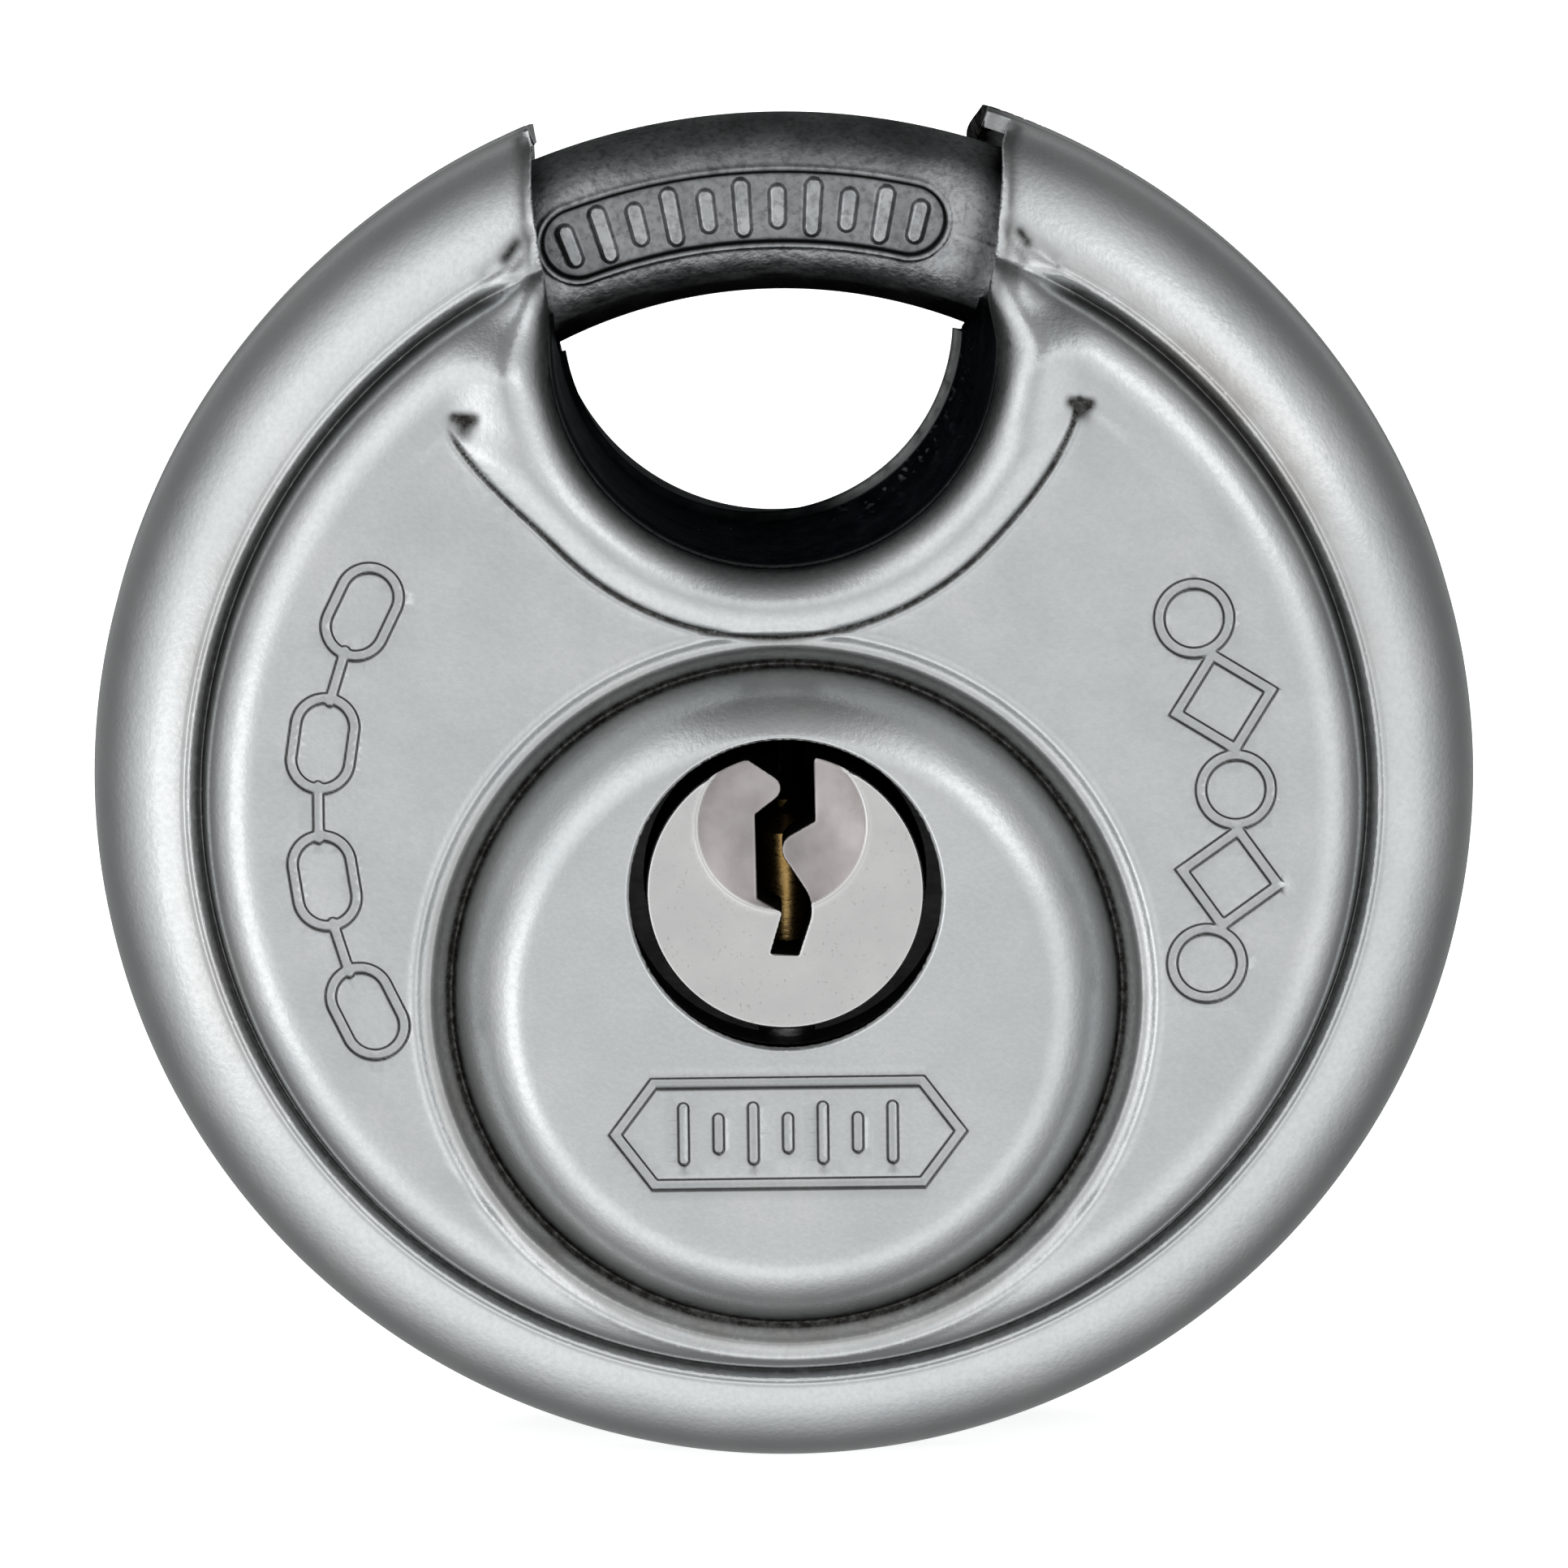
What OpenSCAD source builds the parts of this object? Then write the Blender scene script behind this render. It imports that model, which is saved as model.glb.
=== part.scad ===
// Disc padlock with a turning ring shackle. Millimetres, +Z up, front face towards -Y.
// The origin is the centre of the disc, on the axis that the shackle turns about.

/* [Case] */
// Outer radius of the disc case
case_radius = 25; // [24.9:0.05:25.1]
// Thickness of the drawn steel sheet
sheet = 0.7; // [0.6:0.05:0.75]
// Distance of each flat face from the middle plane
flat_depth = 7.8; // [7.7:0.05:7.9]
// Distance of the raised lock face from the middle plane
boss_depth = 9.6; // [9.5:0.05:9.8]

/* [Shackle] */
// Radius of the round shackle bar
bar_radius = 3.2; // [3.1:0.05:3.2]
// Radius of the ring that the bar is bent to
ring_radius = 20.95; // [20.9:0.05:21]

/* [Throat] */
// Half width of the throat at the faces
throat_radius = 8; // [7.8:0.1:8.1]
// Half width of the throat at the middle plane
throat_waist = 7; // [6.9:0.1:7.2]

/* [Cylinder] */
// Radius of the key plug
plug_radius = 5.05; // [5:0.01:5.06]
// Height of the plug axis
plug_z = -2.8; // [-2.9:0.1:-2.7]

/* [Hidden] */
$fn = 96;
slack = 0.05;
bite = 0.2;
reach = 40;

rim_flat = 1.3;
rim_section = 4.2;
rim_centre = case_radius - rim_section;
groove_radius = 0.35;
wall_radius = rim_centre + 0.1;
shoulder_radius = 2;
shoulder_centre = [wall_radius - shoulder_radius, flat_depth - shoulder_radius];
rim_top = rim_flat + rim_section;

throat_centre = [-0.3, 16.6];
throat_flare_left = 0.6;
throat_flare_right = 0.1;
flare_height = 9.4;
collar_radius = 10.7;
collar_rise = 0.5;
liner_radius = throat_radius + 0.8;
liner_end = 19.2;
mouth_slack = 0.35;

boss_z = -6.9;
boss_radius = 11.95;
boss_shoulder = 1.65;
boss_hole_radius = 5.7;
moat_radius = 13.3;
moat_depth = 0.35;

shackle_tail = -68;
shackle_tip = 124;
slot_angle = -60;
recess_ring = 21.1;
recess_half_width = 1.33;
recess_floor = 2.75;
recess_start = 69;
recess_end = 118.5;

housing_radius = 19;
housing_depth = flat_depth - sheet - 0.1;
bore_radius = plug_radius + slack;
bore_front = 5.5;
clear_bore = boss_hole_radius + 0.1;
core_boss_radius = boss_radius - sheet - 0.15;
disc_radius = boss_radius - boss_shoulder;
disc_back = 7.75;
disc_front = boss_depth - sheet - slack;

plug_front = 9.1;
plug_back = 4.4;
stub_radius = 2.5;
stub_half_flat = 2;
stub_end = 6.5;
clip_groove = 2.1;
clip_back = 6.35;
clip_front = 5.97;
dish_radius = 6.6;
dish_depth = 0.75;
dish_rise = 2.4;
keyway_back = -3.6;
keyway_wards = [
    [-0.99, 5.6], [-0.99, 4.16], [-0.15, 3.69], [-0.99, 2.48], [-0.99, -0.29], [-0.17, -0.71],
    [-0.49, -2.18], [0.52, -2.27], [0.87, -0.21], [-0.06, 1.71], [1.1, 2.92], [1.13, 5.6]
];

arm_length = 15.6;
arm_rest = 35.15;
arm_front = 4.5;
arm_thick = 1.4;
arm_end_radius = 1.45;
arm_hub_radius = 3.7;
dowel_radius = 0.9;
dowel_front = 2.2;
slot_slack = 0.1;
slot_floor = 19.5;

stack_start = 5.2;
stack_pitch = 2.7;
stack_count = 4;
pin_radius = 1;
pin_chamfer = 0.15;
shear_z = plug_z - plug_radius;
key_pin_tops = [-0.6, -0.95, -0.3, -0.8];
pin_bore_top = 1.1;
driver_pin_length = 2.5;
cover_top = -15.3;
cover_thick = 0.7;
cover_half_width = 1.5;
cover_front = 6.6;
cover_back = -4.2;
coil_radius = 0.72;
wire_radius = 0.16;
coil_turns = 7;
coil_steps = 14;
wire_sides = 6;

// Lays a shape drawn in x, y so that y becomes up and its height points out of the front face.
module facing() {
    rotate([90, 0, 0]) children();
}

// A straight solid from one distance in front of the middle plane to another, both counted forwards.
module slab(from_depth, to_depth) {
    translate([0, 0, from_depth]) linear_extrude(height = to_depth - from_depth) children();
}

// The section of a case half between the axis and its skin, drawn as radius and depth.
module case_section(inset) {
    square([case_radius - inset, rim_flat]);
    square([rim_centre, rim_top - inset]);
    square([wall_radius - inset, shoulder_centre[1]]);
    square([shoulder_centre[0], flat_depth - inset]);
    translate(shoulder_centre) circle(r = shoulder_radius - inset);
    translate([rim_centre, rim_flat]) circle(r = rim_section - inset);
}

// The sheet of one case half, with the crease where the rim meets the raised face.
module sheet_section() {
    difference() {
        intersection() {
            case_section(0);
            square([reach, reach]);
        }
        case_section(sheet);
        translate([wall_radius + 0.15, rim_top]) circle(r = groove_radius);
    }
}

// The outline of the throat, from its round floor up through the rim.
module throat_outline(radius) {
    translate(throat_centre) {
        circle(r = radius);
        polygon([
            [-radius, 0], [radius, 0],
            [radius + throat_flare_right, flare_height], [-radius - throat_flare_left, flare_height]
        ]);
    }
}

// The rolled collar that stands proud of the face around the throat.
module collar() {
    half = (collar_radius - throat_radius) / 2;
    crown = (half * half + collar_rise * collar_rise) / (2 * collar_rise);
    intersection() {
        translate([throat_centre[0], throat_centre[1], 0]) rotate_extrude() intersection() {
            translate([throat_radius + half, flat_depth + collar_rise - crown]) circle(r = crown);
            translate([throat_radius - bite, flat_depth - sheet]) square([2 * half + 2 * bite, sheet + 1]);
        }
        translate([0, 0, flat_depth - sheet]) cylinder(r = shoulder_centre[0], h = sheet + 1);
    }
}

// One drawn half of the case, without its lock face.
module case_half() {
    difference() {
        union() {
            rotate_extrude() sheet_section();
            collar();
        }
        slab(-1, reach) throat_outline(throat_radius);
    }
}

module front_shell() color("silver") facing() {
    difference() {
        union() {
            difference() {
                case_half();
                translate([0, boss_z, -1]) cylinder(r = boss_radius - sheet, h = reach);
                translate([0, boss_z, 0]) rotate_extrude() polygon([
                    [moat_radius, flat_depth], [moat_radius, flat_depth + 1],
                    [boss_radius - bite, flat_depth + 1], [boss_radius - bite, flat_depth - moat_depth]
                ]);
            }
            translate([0, boss_z, 0]) rotate_extrude() boss_section();
        }
        translate([0, plug_z, 0]) cylinder(r = boss_hole_radius, h = reach);
        slab(-1, reach) throat_outline(throat_radius);
    }
}

// The raised lock face: a wall, a rounded shoulder and a flat top.
module boss_section() {
    top = boss_radius - boss_shoulder;
    base = flat_depth - sheet;
    difference() {
        intersection() {
            union() {
                square([boss_radius, boss_depth - boss_shoulder]);
                square([top, boss_depth]);
                translate([top, boss_depth - boss_shoulder]) circle(r = boss_shoulder);
            }
            translate([0, base]) square([reach, reach]);
        }
        translate([0, base - 1]) square([boss_radius - sheet, boss_depth - boss_shoulder - base + 1]);
        translate([0, base - 1]) square([top, boss_depth - sheet - base + 1]);
        translate([top, boss_depth - boss_shoulder]) circle(r = boss_shoulder - sheet);
    }
}

module back_shell() color("silver") mirror([0, 1, 0]) facing() case_half();

// The ring path of the shackle, grown by a gap on every side.
module ring_path(gap) {
    rotate_extrude() translate([ring_radius, 0]) circle(r = bar_radius + gap);
}

module notch_liner() color("dimgray") {
    liner_depth = flat_depth - sheet - slack;
    difference() {
        facing() difference() {
            intersection() {
                slab(-liner_depth, liner_depth) throat_outline(liner_radius);
                cylinder(r = liner_end, h = reach, center = true);
            }
            for (side = [-1, 1]) translate([throat_centre[0], throat_centre[1], 0]) {
                mirror([0, 0, side > 0 ? 0 : 1])
                    cylinder(r1 = throat_waist, r2 = throat_radius + 0.01, h = liner_depth + 0.01);
            }
            ring_path(mouth_slack);
        }
        translate([throat_centre[0], 0, throat_centre[1]]) linear_extrude(height = reach) polygon([
            [-throat_radius, liner_depth + 1], [-throat_radius, liner_depth], [-throat_waist, 0],
            [-throat_radius, -liner_depth], [-throat_radius, -liner_depth - 1],
            [throat_radius, -liner_depth - 1], [throat_radius, -liner_depth], [throat_waist, 0],
            [throat_radius, liner_depth], [throat_radius, liner_depth + 1]
        ]);
    }
}

module shackle() color("gray") facing() {
    difference() {
        rotate_extrude(angle = shackle_tip - shackle_tail, start = shackle_tail)
            translate([ring_radius, 0]) circle(r = bar_radius);
        rotate_extrude(angle = recess_end - recess_start, start = recess_start)
            translate([recess_ring - recess_half_width, recess_floor]) square([2 * recess_half_width, 1]);
        rotate([0, 0, slot_angle]) translate([0, -dowel_radius - slot_slack, -reach])
            cube([slot_floor, 2 * (dowel_radius + slot_slack), reach + dowel_front + bite]);
    }
}

// The path swept by the arm about the plug axis, as a sector of a ring.
module arm_sweep(inner, outer, from_depth, to_depth, half_angle) {
    translate([0, plug_z, 0]) rotate_extrude(angle = 2 * half_angle, start = -90 - half_angle)
        translate([inner, from_depth]) square([outer - inner, to_depth - from_depth]);
}

// Runs a child at each pin position along the plug, in the frame of the finished lock.
module at_stack(index) {
    translate([0, index * stack_pitch - stack_start, 0]) children();
}

module lock_housing() color("darkgray") {
    difference() {
        facing() difference() {
            union() {
                rotate_extrude() difference() {
                    translate([0, -housing_depth]) square([housing_radius, 2 * housing_depth]);
                    translate([ring_radius, 0]) circle(r = bar_radius + 0.1);
                }
                translate([0, boss_z, 0]) cylinder(r = core_boss_radius, h = disc_back - slack);
            }
            slab(-reach, reach) throat_outline(liner_radius + 0.1);
            translate([0, plug_z, -reach]) cylinder(r = bore_radius, h = 2 * reach);
            translate([0, plug_z, bore_front]) cylinder(r = clear_bore, h = reach);
            arm_sweep(0, reach, -reach, -arm_front + slack, arm_rest + 28);
            arm_sweep(arm_length - 1.1, reach, -reach, dowel_front + bite, arm_rest + 6);
            translate([0, plug_z, -reach]) cylinder(r = arm_hub_radius + bite, h = reach - arm_front + slack);
        }
        for (i = [0:stack_count - 1])
            at_stack(i) translate([0, 0, cover_top - 0.1]) cylinder(r = pin_radius + slack, h = plug_z - cover_top);
        translate([-cover_half_width - 0.02, -cover_front - 0.02, -reach])
            cube([2 * cover_half_width + 0.04, cover_front - cover_back + 0.04, reach + cover_top]);
    }
}

module anti_drill_disc() color("dimgray") facing() difference() {
    translate([0, boss_z, disc_back]) cylinder(r = disc_radius, h = disc_front - disc_back);
    translate([0, plug_z, disc_back - 1]) cylinder(r = clear_bore, h = reach);
}

module chamber_cover() color("peru")
    translate([-cover_half_width, -cover_front, cover_top - cover_thick])
        cube([2 * cover_half_width, cover_front - cover_back, cover_thick]);

module cylinder_plug() color("tan") {
    difference() {
        translate([0, 0, plug_z]) facing() {
            difference() {
                union() {
                    slab(-plug_back, plug_front) circle(r = plug_radius);
                    slab(-stub_end, -plug_back + bite) intersection() {
                        circle(r = stub_radius);
                        square([reach, 2 * stub_half_flat], center = true);
                    }
                }
                slab(keyway_back, reach) polygon(keyway_wards);
                translate([0, dish_rise, plug_front + dish_radius - dish_depth]) sphere(r = dish_radius);
                slab(-clip_back - slack, -clip_front + slack) difference() {
                    circle(r = stub_radius + 1);
                    circle(r = clip_groove - slack);
                }
            }
        }
        for (i = [0:stack_count - 1])
            at_stack(i) translate([0, 0, shear_z - 1]) cylinder(r = pin_radius + slack, h = 1 - shear_z + pin_bore_top);
    }
}

module plug_clip() color("dimgray") translate([0, 0, plug_z]) facing()
    rotate_extrude(angle = 290, start = 125)
        translate([clip_groove, -clip_back]) square([1.3, clip_back - clip_front]);

// Places a child on the plug axis, turned to where the arm lies with the lock shut.
module arm_place() {
    translate([0, 0, plug_z]) facing() rotate([0, 0, arm_rest - 90]) children();
}

module driver_arm() color("slategray") arm_place() {
    difference() {
        slab(-arm_front - arm_thick, -arm_front) {
            circle(r = arm_hub_radius);
            translate([arm_length, 0]) circle(r = arm_end_radius);
            polygon([
                [0, -2.8], [arm_length, -arm_end_radius + 0.01],
                [arm_length, arm_end_radius - 0.01], [0, 2.8]
            ]);
        }
        slab(-reach, 0) translate([arm_length, 0]) circle(r = dowel_radius + 0.01);
        rotate([0, 0, 90 - arm_rest]) slab(-reach, 0) intersection() {
            circle(r = stub_radius + 0.02);
            square([reach, 2 * stub_half_flat + 0.04], center = true);
        }
    }
}

module arm_dowel() color("lightsteelblue") arm_place()
    translate([arm_length, 0, -arm_front - arm_thick]) cylinder(r = dowel_radius, h = arm_front + arm_thick + dowel_front);

// A key pin: a straight body with a blunt cone where the key touches it, and
// a chamfered foot that stays inside the plug's bore as the plug turns.
module key_pin(index) color("gold") at_stack(index) {
    top = key_pin_tops[index];
    body_top = top - 0.6;
    foot = shear_z + 0.04;
    translate([0, 0, foot]) cylinder(r1 = pin_radius - pin_chamfer, r2 = pin_radius, h = pin_chamfer);
    translate([0, 0, foot + pin_chamfer]) cylinder(r = pin_radius, h = body_top - foot - pin_chamfer);
    translate([0, 0, body_top]) cylinder(r1 = pin_radius, r2 = 0.35, h = top - body_top);
}

module driver_pin(index) color("goldenrod") at_stack(index)
    translate([0, 0, shear_z - 0.06 - driver_pin_length]) cylinder(r = pin_radius, h = driver_pin_length);

// A round wire wound into an open coil.
module pin_spring(index) color("silver") at_stack(index) {
    foot = cover_top + wire_radius + 0.02;
    height = shear_z - 0.08 - driver_pin_length - wire_radius - foot;
    steps = coil_turns * coil_steps;
    points = [for (i = [0:steps], j = [0:wire_sides - 1]) let (
        turn = 360 * i / coil_steps, around = 360 * j / wire_sides,
        out = coil_radius + wire_radius * cos(around)
    ) [out * cos(turn), out * sin(turn), foot + height * i / steps + wire_radius * sin(around)]];
    walls = [for (i = [0:steps - 1], j = [0:wire_sides - 1]) let (
        here = i * wire_sides + j, beside = i * wire_sides + (j + 1) % wire_sides
    ) [here, here + wire_sides, beside + wire_sides, beside]];
    start_cap = [for (j = [0:wire_sides - 1]) j];
    end_cap = [for (j = [0:wire_sides - 1]) (steps + 1) * wire_sides - 1 - j];
    polyhedron(points = points, faces = concat([start_cap], walls, [end_cap]));
}

front_shell();
back_shell();
notch_liner();
shackle();
lock_housing();
anti_drill_disc();
chamber_cover();
cylinder_plug();
plug_clip();
driver_arm();
arm_dowel();
key_pin(0);  // key_pin_1
key_pin(1);  // key_pin_2
key_pin(2);  // key_pin_3
key_pin(3);  // key_pin_4
driver_pin(0);  // driver_pin_1
driver_pin(1);  // driver_pin_2
driver_pin(2);  // driver_pin_3
driver_pin(3);  // driver_pin_4
pin_spring(0);  // pin_spring_1
pin_spring(1);  // pin_spring_2
pin_spring(2);  // pin_spring_3
pin_spring(3);  // pin_spring_4
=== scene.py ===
"""A disc padlock: two drawn steel shells, a dark throat liner, a forged ring shackle and a key plug."""
import math

import bmesh
import bpy
import numpy as np
from mathutils import Matrix, Vector, geometry


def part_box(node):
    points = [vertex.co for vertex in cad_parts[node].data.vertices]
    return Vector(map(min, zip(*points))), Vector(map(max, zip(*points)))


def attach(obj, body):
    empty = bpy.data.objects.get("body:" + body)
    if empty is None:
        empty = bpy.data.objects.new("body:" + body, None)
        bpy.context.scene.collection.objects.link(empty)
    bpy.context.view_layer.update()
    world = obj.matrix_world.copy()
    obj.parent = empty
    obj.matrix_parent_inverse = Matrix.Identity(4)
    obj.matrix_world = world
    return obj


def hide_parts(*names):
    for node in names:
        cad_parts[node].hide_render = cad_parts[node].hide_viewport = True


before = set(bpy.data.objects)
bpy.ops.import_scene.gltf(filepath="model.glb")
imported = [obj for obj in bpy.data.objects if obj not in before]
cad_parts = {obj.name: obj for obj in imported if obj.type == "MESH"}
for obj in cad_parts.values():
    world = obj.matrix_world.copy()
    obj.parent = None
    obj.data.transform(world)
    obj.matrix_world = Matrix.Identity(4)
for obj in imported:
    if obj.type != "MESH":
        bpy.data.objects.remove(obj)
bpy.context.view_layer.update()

MM = 0.001
DEG = math.pi / 180
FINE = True

# Plan coordinates are millimetres: x to the right, z up, and depth towards the lock face.
LOW, HIGH = (np.array(corner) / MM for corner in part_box("front_shell"))
CASE_RADIUS = round(HIGH[0], 1)
BOSS_DEPTH = -LOW[1]
BACK_COLLAR_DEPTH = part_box("back_shell")[1][1] / MM
PLUG_LOW, PLUG_HIGH = (np.array(corner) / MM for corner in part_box("cylinder_plug"))
PLUG_RADIUS = (PLUG_HIGH[0] - PLUG_LOW[0]) / 2
PLUG_Z = (PLUG_HIGH[2] + PLUG_LOW[2]) / 2
PLUG_DEPTH = -PLUG_LOW[1]
BAR_RADIUS = -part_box("shackle")[0][1] / MM
RING_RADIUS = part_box("shackle")[1][2] / MM - BAR_RADIUS

SHEET = 0.7
COLLAR_RISE = 0.5
RIM_FLAT, RIM_SECTION = 1.3, 4.2
RIM_CENTRE = CASE_RADIUS - RIM_SECTION
CREASE_RADIUS = RIM_CENTRE + 0.1
FLAT_DEPTH = BACK_COLLAR_DEPTH - COLLAR_RISE
SHOULDER_RADIUS = 2.0
SHOULDER_START = CREASE_RADIUS - SHOULDER_RADIUS

THROAT_X, THROAT_Z, THROAT_RADIUS = -0.2, 16.6, 8.0
THROAT_ROLL, LIP_ROLL = 1.9, 0.45
COLLAR_X, COLLAR_Z, COLLAR_RADIUS = -0.26, 16.9, 10.7
WAIST_X, WAIST_REACH = -0.74, 5.5
SIDE_STEPS, CHANNEL_EDGE = 8, 19.1

BOSS_Z, BOSS_RADIUS, BOSS_WALL = -6.9, 12.05, 1.75
BOSS_HOLE = 5.58
LEDGE_RADIUS, MOAT_DROP = 13.3, 0.72

SHACKLE_TAIL, SHACKLE_TIP, SLOT_ANGLE = -68 * DEG, 124 * DEG, 60 * DEG
RECESS_RING, RECESS_HALF, RECESS_FLOOR = 21.1, 1.33, 2.72
RECESS_RIGHT, RECESS_LEFT = 73.3 * DEG, 113.5 * DEG
BARS, BAR_PITCH = 11, 1.27


def smooth_max(a, b, width):
    """The larger of two heights, rounded where they meet."""
    near = np.maximum(width - np.abs(a - b), 0) / width
    return np.maximum(a, b) + near * near * width / 4


def ramp(x, low, high):
    """0 below low, 1 above high, and smooth between."""
    t = np.clip((x - low) / (high - low), 0, 1)
    return t * t * (3 - 2 * t)


def dent(x, width):
    """A bell curve about x = 0."""
    return np.exp(-((x / width) ** 2))


def bulge(x, z, centre, size):
    """A round bump in plan about a centre."""
    return np.exp(-(((x - centre[0]) ** 2 + (z - centre[1]) ** 2) / size**2))


# ---- shapes in plan

def throat_sides(z, front):
    """Where the throat's left and right edges run at a height above its round floor."""
    left = THROAT_X - THROAT_RADIUS - 0.5 * ramp(z, 17.5, 22)
    right = THROAT_X + THROAT_RADIUS - 0.3 * dent(z - 18.2, 1.1) + 0.2 * ramp(z, 19.5, 22.5)
    # The front lips' tips are rounded off.
    tip = (0.35 if front else 0) * ramp(z, 22.9, 23.9)
    left, right = left - tip, right + tip
    # The back half's right lip reaches further in, and shows past the front one.
    reach = (0 if front else 1) * (1.15 * ramp(z, 19.5, 22.4) - 0.55 * ramp(z, 22.5, 23.9))
    return left, right - reach


def past_throat(x, z, front):
    """Distance outside the throat's edge, negative in the opening."""
    floor = np.hypot(x - THROAT_X, z - THROAT_Z) - THROAT_RADIUS
    left, right = throat_sides(z, front)
    sides = np.maximum(left - x, x - right)
    return np.where(z < THROAT_Z, floor, sides)


# Where the collar's crease ends on each side, and the way from there to the mouth.
CORNERS = {-1: ((-11.27, 14.13), (0.40, 0.92)), 1: ((10.81, 14.5), (-0.43, 0.90))}


def collar_edge(x, z):
    """Radius at which the collar ends, wider towards the top corners."""
    return COLLAR_RADIUS + np.where(x < 0, 1.3, 0.5) * ramp(z, 9.5, 14.5)


def past_collar(x, z):
    return np.hypot(x - COLLAR_X, z - COLLAR_Z) - collar_edge(x, z)


def segment(x, z, ax, az, bx, bz):
    """Distance in plan to a straight stroke from a to b."""
    px, pz, vx, vz = x - ax, z - az, bx - ax, bz - az
    along = np.clip((px * vx + pz * vz) / (vx * vx + vz * vz + 1e-9), 0, 1)
    return np.hypot(px - along * vx, pz - along * vz)


def on_arc(radius, angle):
    return radius * math.cos(angle), radius * math.sin(angle)


def turned(x, z, centre, angle):
    """Plan coordinates about a centre, with the first axis turned by an angle."""
    dx, dz = x - centre[0], z - centre[1]
    return dx * math.cos(angle) + dz * math.sin(angle), dz * math.cos(angle) - dx * math.sin(angle)


def loop_shape(u, v, length, width):
    """Distance to the outline of a stadium that lies along u."""
    half = length / 2 - width / 2
    return np.abs(np.hypot(np.maximum(np.abs(u) - half, 0), v) - width / 2)


LINK_RADIUS, SHAPE_RADIUS = 16.7, 16.2
LINK_ANGLES = [(154 + 8.6 * i) * DEG for i in range(7)]
SHAPE_ANGLES = [(24.5 - 11.4 * i) * DEG for i in range(5)]
PLATE_Z, PLATE_HALF, PLATE_HEIGHT = -11.5, 6.2, 1.85


def links(x, z):
    """A row of plain chain links along an arc: distance to the nearest stroke."""
    far = np.full_like(x, 9.0)
    for i, angle in enumerate(LINK_ANGLES):
        u, v = turned(x, z, on_arc(LINK_RADIUS, angle), angle + 90 * DEG)
        if i % 2:
            far = np.minimum(far, segment(u, v, -0.95, 0, 0.95, 0))
        else:
            far = np.minimum(far, loop_shape(u, v, 3.3, 2.1))
    return far


def shapes(x, z):
    """A row of plain rings and lozenges along an arc: distance to the nearest stroke."""
    far = np.full_like(x, 9.0)
    for i, angle in enumerate(SHAPE_ANGLES):
        u, v = turned(x, z, on_arc(SHAPE_RADIUS, angle), angle)
        ring = np.abs(np.hypot(u, v) - 1.25)
        lozenge = np.abs((np.abs(u) + np.abs(v)) - 1.75) / math.sqrt(2)
        far = np.minimum(far, lozenge if i % 2 else ring)
    return far


def name_plate(x, z):
    """A long six-sided outline with plain bars in it: distance to the nearest stroke."""
    u, v = np.abs(x), np.abs(z - PLATE_Z)
    slant = (u - PLATE_HALF + 0.75 * v) * 0.8
    far = np.abs(np.maximum(slant, v - PLATE_HEIGHT))
    for i in range(-3, 4):
        height = 0.95 if i % 2 else 0.55
        far = np.minimum(far, segment(x, z, i * 1.25, PLATE_Z - height, i * 1.25, PLATE_Z + height))
    return far


def stroke_distance(x, z):
    return np.minimum(np.minimum(links(x, z), shapes(x, z)), name_plate(x, z))


# ---- the case skin

# Where the press folded the sheet at the mouths and at the crease's ends, on the left and then
# on the right. A stroke is its two ends in plan and its width.
KNOBS, KNOB_SIZE = ((-9.45, 18.7), (8.8, 18.8)), 0.8
VALLEYS = ((-10.4, 19.0, -8.9, 20.4, 0.3), (9.8, 19.3, 8.2, 20.5, 0.3))
PITS = ((-9.7, 19.6, -9.3, 20.1, 0.2), (8.9, 19.95, 8.65, 20.3, 0.16))
CORNER_PITS = ((-11.6, 14.3, -10.95, 14.25, 0.24), (10.45, 14.6, 11.1, 14.55, 0.24))
CORNER_DOTS, DOT_SIZE = ((-11.25, 13.85), (10.8, 14.2)), 0.34

FLAT_CROWN, MARK_DEPTH, GROOVE_DEPTH, CREASE_DEPTH, CORNER_SLUMP = 0.04, 0.18, 0.42, 0.12, 0.75
LIP_FLARE, SKIRT_DEPTH, SKIRT_TOP = 0.016, 0.35, 18.3


def strokes(x, z, rows):
    """Soft strokes in plan, each given by its ends and its width."""
    return sum(dent(segment(x, z, *ends), width) for *ends, width in rows)


def dots(x, z, places, size):
    return sum(bulge(x, z, place, size) for place in places)


def drawn_face(x, z, r, beyond):
    """Depth of the raised flat with its shoulder and collar, and the strength of the collar's crease."""
    out = r - SHOULDER_START
    run = np.clip(out, 0, SHOULDER_RADIUS - 0.03)
    drop = SHOULDER_RADIUS - np.sqrt(np.maximum(SHOULDER_RADIUS**2 - run**2, 0))
    face = FLAT_DEPTH + FLAT_CROWN - drop - 6 * np.maximum(out - SHOULDER_RADIUS + 0.03, 0)
    in_flat = np.minimum(SHOULDER_START - 0.55 - r, beyond)
    face = face - 0.05 * ramp(in_flat, 0, 0.5)
    # The collar swells beside the throat, from a crease that softens towards the corners.
    crisp = 1 - np.clip(1 + beyond / 1.8, 0, 1) ** 2
    swell = crisp + (ramp(-beyond, 0, 2.6) - crisp) * ramp(z, 12.6, 14.2)
    swell = COLLAR_RISE * swell * (1 - 0.6 * ramp(z, 15.5, 18))
    face = face + swell * (1 - ramp(r, SHOULDER_START - 0.6, SHOULDER_START + 1.6))
    crease = dent(beyond, 0.12) * (1 - ramp(r, SHOULDER_START - 1.4, SHOULDER_START - 0.3))
    face = face - CREASE_DEPTH * crease - 0.08 * ramp(r, 15.5, 19) * ramp(z, -9, -3)
    for side, (start, way) in CORNERS.items():
        toward = (x - start[0]) * way[0] + (z - start[1]) * way[1]
        face = face - CORNER_SLUMP * ramp(toward, 1.6, 4.8) * (np.sign(x) == side)
    return face, crease


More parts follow.
